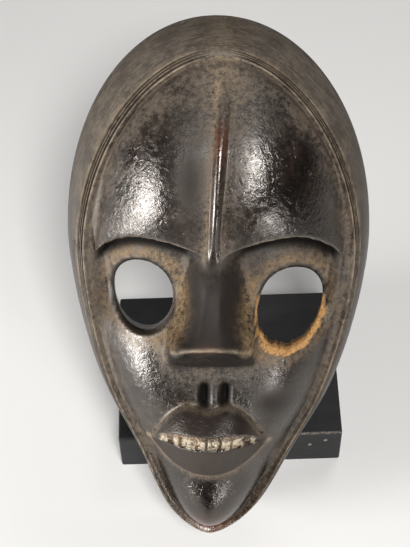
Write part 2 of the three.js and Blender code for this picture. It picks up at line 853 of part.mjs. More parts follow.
const fork = new THREE.Vector3(...rodPlace, blockHeight + rodRise);
mask.position.set(0, -forkLevel, forkBehind);
rolled.add(mask);
leaning.position.copy(fork);
post.position.copy(fork);

const danMask = new THREE.Group();
danMask.add(stand, post, leaning);

export default danMask;
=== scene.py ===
# A Dan mask of dark carved wood on its display stand
import math

import bmesh
import bpy
import numpy as np
from mathutils import Matrix, Vector
from mathutils.kdtree import KDTree


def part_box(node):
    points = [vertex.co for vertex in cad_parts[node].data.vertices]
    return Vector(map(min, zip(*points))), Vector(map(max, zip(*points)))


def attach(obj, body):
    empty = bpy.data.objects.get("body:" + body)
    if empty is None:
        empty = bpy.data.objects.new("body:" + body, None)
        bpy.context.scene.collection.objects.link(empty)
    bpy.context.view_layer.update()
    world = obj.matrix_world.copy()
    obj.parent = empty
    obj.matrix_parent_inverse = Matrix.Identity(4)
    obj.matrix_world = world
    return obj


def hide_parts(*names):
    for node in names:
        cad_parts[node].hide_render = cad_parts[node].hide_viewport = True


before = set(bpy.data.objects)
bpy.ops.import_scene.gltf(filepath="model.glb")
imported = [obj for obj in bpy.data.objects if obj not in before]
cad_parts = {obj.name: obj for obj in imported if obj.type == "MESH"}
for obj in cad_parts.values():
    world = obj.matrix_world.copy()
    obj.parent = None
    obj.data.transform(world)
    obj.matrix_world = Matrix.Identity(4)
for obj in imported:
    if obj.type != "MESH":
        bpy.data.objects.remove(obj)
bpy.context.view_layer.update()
print("frame loaded")

mm = 0.001

# The mask's own sizes: X right, Y up the face, Z out of the flat back
rim = {
    "half": 69.9, "level": 8.0, "above": 97.6, "below": 146.3, "crown": 2.03, "lean": -0.017, "side": 0.0,
    "jawShare": 0.088, "tipShare": 0.02,
}
contour = {
    "half": 60.8, "level": 4.0, "above": 90.0, "below": 139.4, "crown": 1.82, "lean": 0.0, "side": 1.2,
    "jawShare": 0.085, "tipShare": 0.05,
}
carving = {
    "chinPoint": 1.6, "chinRound": 0.62, "chinSide": -0.9, "chinSideFrom": -95.0, "chinSideTo": -140.0,
    "jawLevel": -98.0, "jawWidth": 24.0, "tipLevel": -127.0, "tipWidth": 13.0,
    "featureTilt": 0.045, "ridgeLean": 0.033,
    "underBrowShare": 0.28, "underBrowPlace": 2.5, "underBrowWidth": 3.2,
    "rimWall": 7.0, "faceWall": 8.0,
    "contourHeight": 30.0, "crownLift": 5.0, "crownLiftFrom": 20.0, "crownLiftTo": 96.0,
    "chinLift": 3.0, "chinLiftFrom": -70.0, "chinLiftTo": -125.0,
    "bead": 1.3, "beadWidth": 1.1, "border": 3.0,
    "grooveDepth": 1.1, "grooveWidth": 0.75, "grooveSteps": (1.7, 4.1, 6.1),
    "foreheadFullness": 2.5, "cheekFullness": 1.9, "fullnessFrom": -30.0, "fullnessTo": 20.0,
    "channel": 4.0, "channelFrom": 60.0, "channelTo": 20.0, "domeRoundness": 0.82,
    "lowCornerTurn": 65.0, "highCornerTurn": 55.0, "backEdge": 0.5,
    "ridgeTop": 88.0, "ridgeFoot": 10.0, "ridgeHeight": 3.8, "ridgeHalfTop": 2.9, "ridgeHalfFoot": 2.2,
    "ridgeValley": 1.1, "ridgeValleyHalf": 8.0,
    "browLevel": 17.8, "browMiddle": 31, "browInner": 27.0, "browOuter": 24.0,
    "browInnerDrop": 7.5, "browOuterDrop": 13.0, "browSharpness": 1.7,
    "socketDepth": 8, "socketFlat": 20.0, "socketFade": 30.0,
    "noseRoot": 13.0, "noseTip": -26.6, "noseBase": -42, "noseHeight": 21.0, "noseRootHeight": 1.4,
    "noseRootHalf": 9.0, "noseWingHalf": 21.2, "noseWingDrop": 6.5, "nostrilCurl": 1.6,
    "philtrumTop": -50.5, "philtrumFoot": -59.6, "philtrumMiddle": 1.9, "philtrumSpacing": 4.6,
    "philtrumHalf": 2.2, "philtrumDepth": 4.2,
    "mouthMiddle": -0.8, "mouthHalf": 27, "mouthCorner": -82,
    "upperLipTop": -60, "upperLipPeak": 9, "upperLipDip": 1.8, "upperLipFoot": -70.4,
    "lowerLipTop": -77.8, "lowerLipFoot": -97.4, "lipHeight": 11.0, "lowerLipHeight": 10.0,
    "lipStep": 1.6, "mouthRowsEnd": -107, "teethRecess": 4.0, "teethCount": 8, "teethGap": 1.0,
    "eyeRimDrop": 1.5, "eyeRimWidth": 1.9,
    "foreheadSwell": 1.8, "foreheadPlace": (23.0, 42.0),
    "cheekBulge": 3.4, "cheekPlace": (33.0, -53.0), "cheekRadius": 17.0, "chinKeel": 0.5,
    "tieHole": 2.2, "tieHoleHeight": 7.0, "tieSpacing": 19.7, "tiesPerSide": 5,
    "tieStarts": ((17, -1), (3, 1)), "tieDrillLength": 24.0, "tieDrillSides": 14,
}
profile = (
    (94, 35), (80, 43.5), (62, 52), (45, 56.5), (28, 58.5), (12, 56), (-6, 52), (-25, 50.5),
    (-42, 51.5), (-60, 53.5), (-76, 54.5), (-92, 50.5), (-100, 48.5), (-112, 49), (-121, 47.5),
    (-127, 42.5), (-132, 33),
)
leftEye = {"x": -32.1, "y": -13.4, "halfX": 14.0, "halfY": 16.0, "loss": 0.0}
rightEye = {"x": 34.8, "y": -13.8, "halfX": 13.9, "halfY": 15.7, "loss": 6.0}
eyeSquareness = 2.05
lossDirection, lossSpread = 252.0, 52.0
fineness = {
    "columns": 58, "fineRow": 0.72, "coarseRow": 1.9, "sideRings": 13, "hollowRings": 9,
    "borderRings": (0.25, 0.5, 0.72, 0.88), "grooveReach": 8.2, "grooveStep": 0.42, "lastSideRing": 0.985,
}


def smooth(start, end, value):
    t = np.clip((value - start) / (end - start), 0, 1)
    return t * t * (3 - 2 * t)


def bell(value, width):
    return np.exp(-((value / width) ** 2))


# Pointed ovals
def ovalMiddle(oval, y):
    aside = carving["chinSide"] * smooth(carving["chinSideFrom"], carving["chinSideTo"], y)
    return oval["lean"] * y + oval["side"] + aside


def jawAt(oval, y):
    drawn = oval["jawShare"] * bell(y - carving["jawLevel"], carving["jawWidth"])
    return 1 - drawn + oval["tipShare"] * bell(y - carving["tipLevel"], carving["tipWidth"])


def ovalPoint(oval, phi):
    phi = np.asarray(phi, float)
    c, s = np.cos(phi), np.sin(phi)
    up = s >= 0
    power = np.where(up, 2 / oval["crown"], 2 * carving["chinRound"])
    rise = np.where(
        up,
        oval["above"] * np.abs(s) ** (2 / oval["crown"]),
        -oval["below"] * np.abs(s) ** (2 / carving["chinPoint"]),
    )
    y = oval["level"] + rise
    return np.sign(c) * oval["half"] * np.abs(c) ** power * jawAt(oval, y) + ovalMiddle(oval, y), y


def ovalHalf(oval, y):
    t = np.clip((y - oval["level"]) / oval["above"], 0, 1)
    b = np.clip((oval["level"] - y) / oval["below"], 0, 1)
    top = oval["half"] * (1 - t ** oval["crown"]) ** (1 / oval["crown"])
    low = oval["half"] * (1 - b ** carving["chinPoint"]) ** carving["chinRound"] * jawAt(oval, y)
    return np.where(y >= oval["level"], top, low)


def insetOval(oval, inset):
    above, below = oval["above"] - inset, oval["below"] - inset * 1.6
    return dict(oval, half=oval["half"] - inset, above=above, below=below)


def phiAtLevel(oval, y):
    t = np.clip((y - oval["level"]) / oval["above"], 0, 1)
    b = np.clip((oval["level"] - y) / oval["below"], 0, 1)
    up = np.arcsin(t ** (oval["crown"] / 2))
    down = -np.arcsin(b ** (carving["chinPoint"] / 2))
    return np.where(y >= oval["level"], up, down)


def ovalNormal(oval, phi):
    x0, y0 = ovalPoint(oval, phi - 0.02)
    x1, y1 = ovalPoint(oval, phi + 0.02)
    length = np.hypot(x1 - x0, y1 - y0)
    return (y1 - y0) / length, (x0 - x1) / length


# Heights over the back
def contourZ(y):
    c = carving
    crown = c["crownLift"] * smooth(c["crownLiftFrom"], c["crownLiftTo"], y) ** 1.2
    return c["contourHeight"] + crown + c["chinLift"] * smooth(c["chinLiftFrom"], c["chinLiftTo"], y)


def profileZ(y):
    ys = np.array([p[0] for p in profile], float)
    zs = np.array([p[1] for p in profile], float)
    y = np.clip(np.asarray(y, float), ys[-1], ys[0])
    k = np.clip(np.searchsorted(-ys, -y, side="right") - 1, 0, len(ys) - 2)
    before, after = np.maximum(k - 1, 0), np.minimum(k + 2, len(ys) - 1)
    m0 = (zs[k + 1] - zs[before]) / (ys[k + 1] - ys[before])
    m1 = (zs[after] - zs[k]) / (ys[after] - ys[k])
    d = ys[k + 1] - ys[k]
    t = (y - ys[k]) / d
    rising = (1 + 2 * t) * (1 - t) ** 2 * zs[k] + t * (1 - t) ** 2 * d * m0
    return rising + t * t * (3 - 2 * t) * zs[k + 1] + t * t * (t - 1) * d * m1


def domeZ(x, y):
    c = carving
    half = np.maximum(1, ovalHalf(contour, y))
    across = np.abs(x - ovalMiddle(contour, y))
    formHalf = np.maximum(0.6, half - c["channel"] * smooth(c["channelFrom"], c["channelTo"], y) - 0.6)
    s = np.clip(across / formHalf, 0, 1)
    rising = smooth(c["fullnessFrom"], c["fullnessTo"], y)
    fullness = c["cheekFullness"] + (c["foreheadFullness"] - c["cheekFullness"]) * rising
    edge = contourZ(y)
    return edge + (profileZ(y) - edge) * (1 - s**fullness) ** c["domeRoundness"]


def ridgeZ(x, y):
    c = carving
    top, foot = c["ridgeTop"], c["ridgeFoot"]
    along = smooth(top, top - 32, y) * smooth(foot - 3, foot + 13, y)
    half = c["ridgeHalfTop"] + (c["ridgeHalfFoot"] - c["ridgeHalfTop"]) * smooth(top - 20, foot, y)
    aside = x - c["ridgeLean"] * (y - foot)
    t = np.clip(np.abs(aside) / half, 0, 1)
    valley = c["ridgeValley"] * bell(aside, c["ridgeValleyHalf"]) * smooth(top, top - 25, y)
    return along * c["ridgeHeight"] * np.sqrt(1 - t * t) - valley * smooth(foot, foot + 12, y)


def browY(x):
    c = carving
    away = np.abs(x) - c["browMiddle"]
    inner = c["browInnerDrop"] * (np.minimum(away, 0) / c["browInner"]) ** 2
    outer = c["browOuterDrop"] * np.clip(away / c["browOuter"], 0, 1.1) ** 2
    return c["browLevel"] + c["featureTilt"] * x - inner - outer


def socketZ(x, y):
    c = carving
    across = np.abs(x)
    below = browY(x) - y
    half = ovalHalf(contour, y)
    inner = smooth(3, 15, across)
    outer = 1 - smooth(half - 11, half - 4, across)
    down = smooth(-c["browSharpness"] / 2, c["browSharpness"] / 2, below)
    fade = 1 - smooth(c["socketFlat"], c["socketFlat"] + c["socketFade"], below)
    groove = 1 + c["underBrowShare"] * bell(below - c["underBrowPlace"], c["underBrowWidth"])
    return -c["socketDepth"] * inner * outer * down * fade * groove


def noseEdge(x):
    return carving["noseTip"] - carving["noseWingDrop"] * (np.abs(x) / carving["noseWingHalf"]) ** 2


# How far down the nose a level lies, and how wide the nose is there
def noseAt(level):
    c = carving
    t = np.clip((c["noseRoot"] + 8 - level) / (c["noseRoot"] + 8 - c["noseTip"]), 0, 1)
    return t, c["noseRootHalf"] + (c["noseWingHalf"] - c["noseRootHalf"]) * t**1.2


def noseZ(x, y):
    c = carving
    across = np.abs(x)
    t, half = noseAt(y)
    s = np.clip(across / half, 0, 1)
    height = c["noseRootHeight"] * smooth(0, 0.3, t) + (c["noseHeight"] - c["noseRootHeight"]) * t**2.0
    section = (1 - s ** (1.9 + 1.6 * t**4)) ** (1.9 - 0.75 * t**3)
    wing = 5 * bell(across - 15.5, 4.5) * bell(y + 33, 6)
    curlRing = np.hypot(across - 14.5, (y + 30) * 0.8) - 6
    curl = c["nostrilCurl"] * bell(curlRing, 1.3) * smooth(9, 13, across)
    under = np.clip((y - c["noseBase"]) / (noseEdge(x) - c["noseBase"]), 0, 1)
    return (height * section + wing - curl * smooth(0.5, 0.9, t)) * under


def philtrumZ(x, y):
    c = carving
    across = np.abs(x - c["philtrumMiddle"])
    along = smooth(c["philtrumTop"] + 2, c["philtrumTop"] - 2, y)
    along = along * smooth(c["philtrumFoot"] - 1, c["philtrumFoot"] + 1, y)
    return -c["philtrumDepth"] * along * bell(across - c["philtrumSpacing"], c["philtrumHalf"])


def mouthEdges(across):
    c = carving
    t = np.clip(across / c["mouthHalf"], 0, 1)
    out = np.clip((across - c["upperLipPeak"]) / (c["mouthHalf"] - c["upperLipPeak"]), 0, 1)
    dip = c["upperLipDip"] * bell(across, c["upperLipPeak"] * 0.55)
    corner = c["mouthCorner"]
    top = c["upperLipTop"] - dip + (corner - c["upperLipTop"]) * out**1.9
    upper = c["upperLipFoot"] + (corner - c["upperLipFoot"]) * t**5
    lower = c["lowerLipTop"] + (corner - c["lowerLipTop"]) * t**6
    foot = c["lowerLipFoot"] + (corner - c["lowerLipFoot"]) * t**2.4
    return top, upper, lower, foot


def fromToothMiddle(x):
    pitch = carving["mouthHalf"] * 1.7 / carving["teethCount"]
    return np.abs(np.mod(x / pitch, 1) - 0.5) * 2


def toothZ(x):
    t = fromToothMiddle(x)
    return -carving["teethGap"] * smooth(0.65, 1, t)


def mouthZ(x, y):
    c = carving
    across = np.abs(x - c["mouthMiddle"])
    top, upper, lower, foot = mouthEdges(across)
    fall = np.clip(1 - (across / c["mouthHalf"]) ** 2, 0, 1) ** 0.75
    step = c["lipStep"] * np.sqrt(fall)
    v = np.clip((top - y) / np.maximum(0.1, top - upper), 0, 1)
    above = step * smooth(0, 0.1, v) + (c["lipHeight"] * fall - step) * v**0.7
    w = np.clip((y - foot) / np.maximum(0.1, lower - foot), 0, 1)
    below = step * smooth(0, 0.08, w) + (c["lowerLipHeight"] * fall - step) * w
    inside = np.minimum(upper - y, y - lower)
    recess = c["teethRecess"] * fall * smooth(0, 1.2, inside)
    lip = np.where(y > (upper + lower) / 2, c["lipHeight"], c["lowerLipHeight"]) * fall
    teeth = lip - recess + toothZ(x - c["mouthMiddle"]) * fall
    z = np.where(y >= upper, above, np.where(y <= lower, below, teeth))
    return np.where((y > top) | (y < foot) | (across >= c["mouthHalf"]), 0, z)


def cheekZ(x, y):
    c = carving
    across = np.abs(x) - c["cheekPlace"][0]
    return c["cheekBulge"] * bell(np.hypot(across, (y - c["cheekPlace"][1]) * 0.75), c["cheekRadius"])


def chinZ(x, y):
    keel = carving["chinKeel"] * bell(x, 3.5)
    return keel * smooth(-94, -120, y) * smooth(-134, -122, y)


def foreheadZ(x, y):
    c = carving
    across = np.abs(x) - c["foreheadPlace"][0]
    return c["foreheadSwell"] * bell(across, 17) * bell(y - c["foreheadPlace"][1], 26)


def eyeDistance(eye, x, y):
    c, s = x - eye["x"], y - eye["y"]
    edgeX, edgeY = eyeRadius(eye, np.arctan2(s / eye["halfY"], c / eye["halfX"]))
    return np.hypot(c, s) - np.hypot(edgeX - eye["x"], edgeY - eye["y"])


def eyeRimZ(x, y):
    near = np.minimum(eyeDistance(leftEye, x, y), eyeDistance(rightEye, x, y))
    return -carving["eyeRimDrop"] * smooth(carving["eyeRimWidth"], -0.4, near)


def faceZ(x, y):
    level = y - carving["featureTilt"] * x
    lower = noseZ(x, level) + philtrumZ(x, level) + mouthZ(x, level)
    features = ridgeZ(x, y) + socketZ(x, y) + lower
    return domeZ(x, y) + features + foreheadZ(x, y) + cheekZ(x, y) + chinZ(x, y) + eyeRimZ(x, y)


def hollowZ(x, y):
    nose = 9 * bell(x, 11) * bell(y + 22, 16)
    mouth = 4 * bell(x, 18) * bell(y + 75, 14)
    return np.maximum(4, domeZ(x, y) - carving["faceWall"] + nose + mouth + 0.75 * socketZ(x, y - 2))


# Side band from the contour line (u = 0) round to the back (u = 1)
def bandLength(phi):
    kx, ky = ovalPoint(contour, phi)
    mx, my = ovalPoint(rim, phi)
    reach, height = np.hypot(mx - kx, my - ky), contourZ(ky)
    return np.hypot(reach, height) + 0.4 * np.minimum(reach, height)


def lineStrength(phi):
    x = ovalPoint(contour, phi)[0]
    return np.where(np.sin(phi) > 0, smooth(3, 15, np.abs(x)), 1)


def bandPoint(phi, u):
    c = carving
    kx, ky = ovalPoint(contour, phi)
    mx, my = ovalPoint(rim, phi)
    nx, ny = ovalNormal(contour, phi)
    reach = np.maximum(1, np.hypot(mx - kx, my - ky))
    height = contourZ(ky)
    out, up = np.sin(u * np.pi / 2), np.cos(u * np.pi / 2)
    walked = u * bandLength(phi)
    lower = 0.35 + 0.65 * smooth(-0.3, 0.3, np.sin(phi))
    cut = sum(c["grooveDepth"] * bell(walked - step, c["grooveWidth"]) * lower for step in c["grooveSteps"])
    lift = (c["bead"] * bell(walked, c["beadWidth"]) - cut) * lineStrength(phi)
    side, front = out / reach, np.maximum(up, 0.02) / height
    length = np.hypot(side, front)
    return np.stack([
        kx + (mx - kx) * out + lift * nx * side / length,
        ky + (my - ky) * out + lift * ny * side / length,
        height * up + lift * front / length,
    ], -1)


# Rows and columns that fill an oval, and the turns round its edge
lowCorner, highCorner = math.radians(carving["lowCornerTurn"]), math.radians(carving["highCornerTurn"])


def ovalGrid(oval, halfColumns, rowShares):
    a = np.concatenate([-halfColumns[:0:-1], halfColumns])
    v = rowShares
    bottomPhi = -np.pi / 2 + a * (np.pi / 2 - lowCorner)
    topPhi = np.pi / 2 - a * (np.pi / 2 - highCorner)
    yLow, yHigh = ovalPoint(oval, -lowCorner)[1], ovalPoint(oval, highCorner)[1]
    sidePhi = phiAtLevel(oval, yLow + v * (yHigh - yLow))
    u = ((a + 1) / 2)[None, :]
    w = v[:, None]
    bottom, top = ovalPoint(oval, bottomPhi), ovalPoint(oval, topPhi)
    left, right = ovalPoint(oval, np.pi - sidePhi), ovalPoint(oval, sidePhi)
    places = []
    for axis in (0, 1):
        across = (1 - w) * bottom[axis][None, :] + w * top[axis][None, :]
        sides = (1 - u) * left[axis][:, None] + u * right[axis][:, None]
        lowPair = (1 - u) * bottom[axis][0] + u * bottom[axis][-1]
        highPair = (1 - u) * top[axis][0] + u * top[axis][-1]
        places.append(across + sides - (1 - w) * lowPair - w * highPair)
    turns = np.concatenate([bottomPhi, sidePhi[1:-1], topPhi[::-1], (np.pi - sidePhi[1:-1])[::-1]])
    return places[0], places[1], turns


def followLines(x, y):
    c = carving
    brow = (c["browLevel"] - browY(x)) * bell(y - c["browLevel"], 20)
    across = np.abs(x - c["mouthMiddle"])
    top, upper, lower, foot = mouthEdges(np.minimum(across, c["mouthHalf"] * 0.88))
    levels = [c["philtrumTop"], c["upperLipTop"], c["upperLipFoot"], c["lowerLipTop"], c["lowerLipFoot"],
              c["mouthRowsEnd"]]
    tilt = c["featureTilt"] * x
    targets = [levels[0] + 0 * x, top + tilt, upper + tilt, lower + tilt, foot + tilt, levels[5] + 0 * x]
    pull = 1 - smooth(c["mouthHalf"] * 0.88, c["mouthHalf"] * 1.6, across)
    mouth = np.zeros_like(y)
    for k in range(5):
        inside = (y <= levels[k]) & (y > levels[k + 1])
        t = (levels[k] - y) / (levels[k] - levels[k + 1])
        mouth = np.where(inside, (targets[k] + (targets[k + 1] - targets[k]) * t - y) * pull, mouth)
    return y - brow + mouth


def rowShares(oval, fine, coarse):
    c = carving
    low, high = float(ovalPoint(oval, -np.pi / 2)[1]), float(ovalPoint(oval, np.pi / 2)[1])
    edges = np.array([
        c["browLevel"], c["browLevel"] - c["browSharpness"], c["noseTip"], c["noseBase"],
        c["upperLipTop"], c["upperLipFoot"], c["lowerLipTop"], c["lowerLipFoot"],
    ])
    levels = [low]
    while levels[-1] < high:
        near = np.abs(edges - levels[-1] - fine).min()
        levels.append(levels[-1] + fine + (coarse - fine) * float(smooth(1.5, 11, near)))
    levels = np.array(levels)
    return (levels - low) / (levels[-1] - low)


# Gathers points and quads
class Skin:
    def __init__(self):
        self.points = []
        self.quads = []
        self.count = 0

    def add(self, points):
        ids = np.arange(self.count, self.count + len(points))
        self.points.append(points)
        self.count += len(points)
        return ids

    def gridQuads(self, ids, inward=False):
        a, b, c, d = ids[:-1, :-1], ids[:-1, 1:], ids[1:, 1:], ids[1:, :-1]
        order = (a, d, c, b) if inward else (a, b, c, d)
        self.quads.append(np.stack([q.ravel() for q in order], -1))
        return np.concatenate([ids[0], ids[1:-1, -1], ids[-1][::-1], ids[1:-1, 0][::-1]])

    def grid(self, x, y, z, inward=False):
        ids = self.add(np.stack([x, y, z], -1).reshape(-1, 3)).reshape(x.shape)
        return self.gridQuads(ids, inward)

    def join(self, loop, after):
        self.quads.append(np.stack([loop, after, np.roll(after, -1), np.roll(loop, -1)], -1))
        return after

    def ring(self, loop, points):
        return self.join(loop, self.add(points))

    def mesh(self, name):
        mesh = bpy.data.meshes.new(name)
        mesh.from_pydata((np.concatenate(self.points) * mm).tolist(), [], np.concatenate(self.quads).tolist())
        mesh.update()
        return mesh


def columnShares(count):
    t = np.linspace(0, 1, count + 1)
    return 0.45 * t + 0.55 * t**1.9


def maskSkin():
    f, c = fineness, carving
    inner = insetOval(contour, c["border"])
    columns = columnShares(f["columns"])
    shares = rowShares(inner, f["fineRow"], f["coarseRow"])
    x, y, turns = ovalGrid(inner, columns, shares)
    followed = followLines(x, y)
    followed[0], followed[-1] = y[0], y[-1]
    followed[:, 0], followed[:, -1] = y[:, 0], y[:, -1]
    skin = Skin()
    loop = skin.grid(x, followed, faceZ(x, followed))
    ix, iy = ovalPoint(inner, turns)
    kx, ky = ovalPoint(contour, turns)
    for t in f["borderRings"]:
        away = (1 - t) * c["border"]
        z = contourZ(iy + (ky - iy) * t) + c["bead"] * bell(away, c["beadWidth"]) * lineStrength(turns)
        loop = skin.ring(loop, np.stack([ix + (kx - ix) * t, iy + (ky - iy) * t, z], -1))
    length = bandLength(turns)
    near = np.arange(0, f["grooveReach"], f["grooveStep"])
    for walked in near:
        loop = skin.ring(loop, bandPoint(turns, walked / length))
    start = near[-1] / length
    for k in range(1, f["sideRings"] + 1):
        share = start + (f["lastSideRing"] - start) * k / f["sideRings"]
        loop = skin.ring(loop, bandPoint(turns, share))
    edge = bandPoint(turns, np.ones_like(turns))
    nx, ny = ovalNormal(rim, turns)
    edge[:, 2] = 0
    edge[:, 0] -= c["backEdge"] * nx
    edge[:, 1] -= c["backEdge"] * ny
    loop = skin.ring(loop, edge)
    # the hollow: over the flat back and up inside
    top = insetOval(contour, c["rimWall"] - 1)
    back = insetOval(rim, c["rimWall"])
    hx, hy, hollowTurns = ovalGrid(top, columns, shares)
    bx, by = ovalPoint(back, hollowTurns)
    tx, ty = ovalPoint(top, hollowTurns)
    rise = hollowZ(tx, ty)
    loop = skin.ring(loop, np.stack([bx, by, np.zeros_like(bx)], -1))
    for k in range(f["hollowRings"] - 1, 0, -1):
        u = k / f["hollowRings"]
        out = math.sin(u * math.pi / 2)
        z = rise * math.cos(u * math.pi / 2) ** 0.8
        loop = skin.ring(loop, np.stack([tx + (bx - tx) * out, ty + (by - ty) * out, z], -1))
    ids = skin.add(np.stack([hx, hy, hollowZ(hx, hy)], -1).reshape(-1, 3)).reshape(hx.shape)
    skin.join(loop, skin.gridQuads(ids, inward=True))
    return skin.mesh("mask")


def placeObject(name, mesh):
    item = bpy.data.objects.new(name, mesh)
    bpy.context.scene.collection.objects.link(item)
    return item


# Cutters for the eye holes and the tie holes
def eyeRadius(eye, turn):
    c, s = np.cos(turn), np.sin(turn)
    square = (np.abs(c) ** eyeSquareness + np.abs(s) ** eyeSquareness) ** (-1 / eyeSquareness)
    away = np.abs(np.degrees(turn) % 360 - lossDirection)
    away = np.minimum(away, 360 - away)
    ragged = 1 + 0.15 * np.sin(turn * 9) * np.sin(turn * 5 + 1)
    ragged = ragged + 0.06 * np.sin(turn * 31 + 2) + 0.05 * np.sin(turn * 47)
    loss = eye["loss"] * bell(away, lossSpread) * ragged
    return eye["x"] + c * (square * eye["halfX"] + loss), eye["y"] + s * (square * eye["halfY"] + loss)


def prism(x, y, low, high, points, faces):
    count = len(x)
    base = len(points)
    points += [(px, py, low) for px, py in zip(x, y)] + [(px, py, high) for px, py in zip(x, y)]
    for k in range(count):
        after = (k + 1) % count
        faces.append((base + k, base + after, base + count + after, base + count + k))
    faces.append(tuple(base + k for k in reversed(range(count))))
    faces.append(tuple(base + count + k for k in range(count)))


def tiePlaces():
    c = carving
    phi = np.linspace(np.pi / 2, -np.pi / 2, 4000)
    places, aims = [], []
    for first, sign in c["tieStarts"]:
        turns = np.where(sign > 0, phi, np.pi - phi)
        x, y = ovalPoint(rim, turns)
        walked = np.concatenate([[0], np.cumsum(np.hypot(np.diff(x), np.diff(y)))])
        for k in range(c["tiesPerSide"]):
            at = np.searchsorted(walked, first + k * c["tieSpacing"])
            nx, ny = ovalNormal(rim, turns[at])
            places.append((x[at] * mm, y[at] * mm, c["tieHoleHeight"] * mm))
            aims.append((nx, ny, 0))
    return places, aims


# Geometry nodes: a round drill on each point, lying along the point's aim
def drillTree():
    tree = bpy.data.node_groups.new("tieHoleDrills", "GeometryNodeTree")
    for name, kind in (("Points", "Geometry"), ("Radius", "Float"), ("Length", "Float"), ("Sides", "Int"),
                       ("Wood", "Material")):
        tree.interface.new_socket(name, in_out="INPUT", socket_type="NodeSocket" + kind)
    tree.interface.new_socket("Drills", in_out="OUTPUT", socket_type="NodeSocketGeometry")

    def node(kind, settings=None, **inputs):
        made = tree.nodes.new(kind)
        for name, value in (settings or {}).items():
            setattr(made, name, value)
        for name, value in inputs.items():
            if isinstance(value, bpy.types.NodeSocket):
                tree.links.new(value, made.inputs[name])
            else:
                made.inputs[name].default_value = value
        return made.outputs

    given = node("NodeGroupInput")
    drill = node("GeometryNodeMeshCylinder", Vertices=given["Sides"], Radius=given["Radius"],
                 Depth=given["Length"])
    aim = node("GeometryNodeInputNamedAttribute", {"data_type": "FLOAT_VECTOR"}, Name="aim")
    lying = node("FunctionNodeAlignRotationToVector", {"axis": "Z"}, Vector=aim["Attribute"])
    level = node("FunctionNodeAlignRotationToVector", {"axis": "Y", "pivot_axis": "Z"},
                 Rotation=lying["Rotation"], Vector=(0, 0, 1))
    drills = node("GeometryNodeInstanceOnPoints", Points=given["Points"], Instance=drill["Mesh"],
                  Rotation=level["Rotation"])
    real = node("GeometryNodeRealizeInstances", Geometry=drills["Instances"])
    finished = node("GeometryNodeSetMaterial", Geometry=real["Geometry"], Material=given["Wood"])
    node("NodeGroupOutput", Drills=finished["Geometry"])
    return tree


def drillMesh(wood):
    c = carving
    places, aims = tiePlaces()
    points = bpy.data.meshes.new("tiePoints")
    points.from_pydata(places, [], [])
    points.attributes.new("aim", "FLOAT_VECTOR", "POINT").data.foreach_set("vector", np.ravel(aims))
    item = placeObject("tieDrills", points)
    drills = item.modifiers.new("drills", "NODES")
    drills.node_group = drillTree()
    sizes = {
        "Radius": c["tieHole"] / 2 * mm, "Length": c["tieDrillLength"] * mm, "Sides": c["tieDrillSides"],
        "Wood": wood,
    }
    for socket in drills.node_group.interface.items_tree:
        if socket.name in sizes:
            drills[socket.identifier] = sizes[socket.name]
    mesh = bpy.data.meshes.new_from_object(item.evaluated_get(bpy.context.evaluated_depsgraph_get()))
    item.modifiers.remove(drills)
    bpy.data.objects.remove(item)
    return mesh


def cutters(wood):
    points, faces = [], []
    turn = np.arange(120) * 2 * np.pi / 120
    for eye in (leftEye, rightEye):
        x, y = eyeRadius(eye, turn)
        prism(x, y, 1.0, 95.0, points, faces)
    mesh = bpy.data.meshes.new("cutters")
    mesh.from_pydata([tuple(v * mm for v in p) for p in points], [], faces)
    both = bmesh.new()
    both.from_mesh(mesh)
    both.from_mesh(drillMesh(wood))
    both.to_mesh(mesh)
    both.free()
    return placeObject("cutters", mesh)


# How the mask hangs on its rod, in millimetres and degrees
hang = {
    "fork": (-3.5, 12.0, 112.5),
    "forkLevel": -5.0,
    "forkBehind": 3.0,
    "lean": 36.0,
    "turn": 3.5,
    "roll": 3.0,
}


def maskPlace():
    turn = (
        Matrix.Rotation(-math.radians(hang["lean"]), 4, "X")
        @ Matrix.Rotation(-math.radians(hang["turn"]), 4, "Z")
        @ Matrix.Rotation(math.pi / 2, 4, "X")
        @ Matrix.Rotation(-math.radians(hang["roll"]), 4, "Z")
    )
    fork = Matrix.Translation(Vector(hang["fork"]) * mm)
    return fork @ turn @ Matrix.Translation(Vector((0, -hang["forkLevel"], hang["forkBehind"])) * mm)


def keepInside(mesh, low, high):
    margin = 0.01 * mm
    place = np.empty(len(mesh.vertices) * 3)
    mesh.vertices.foreach_get("co", place)
    place = np.clip(place.reshape(-1, 3), np.array(low) + margin, np.array(high) - margin)
    mesh.vertices.foreach_set("co", place.ravel())


def carveMask(wood):
    rough = placeObject("roughMask", maskSkin())
    tool = cutters(wood)
    cut = rough.modifiers.new("holes", "BOOLEAN")
    cut.operation = "DIFFERENCE"
    cut.solver = "MANIFOLD"
    cut.object = tool
    graph = bpy.context.evaluated_depsgraph_get()
    mesh = bpy.data.meshes.new_from_object(rough.evaluated_get(graph))
    for item in (rough, tool):
        bpy.data.objects.remove(item)
    mesh.name = "mask"
    return mesh


# What each point of the carving is, worked out from where it lies
def ringSamples():
    phi = np.linspace(-np.pi, np.pi, 721)[:-1]
    u = np.linspace(0, 1, 61)
    turns, rings = np.meshgrid(phi, u, indexing="ij")
    return turns.ravel(), rings.ravel(), bandPoint(turns, rings).reshape(-1, 3)


def nearestBand(points):
    turns, rings, places = ringSamples()
    tree = KDTree(len(places))
    for k, place in enumerate(places):
        tree.insert(place, k)
    tree.balance()
    found = [tree.find(p) for p in points.tolist()]
    index = np.array([f[1] for f in found])
    return turns[index], rings[index], np.array([f[2] for f in found])


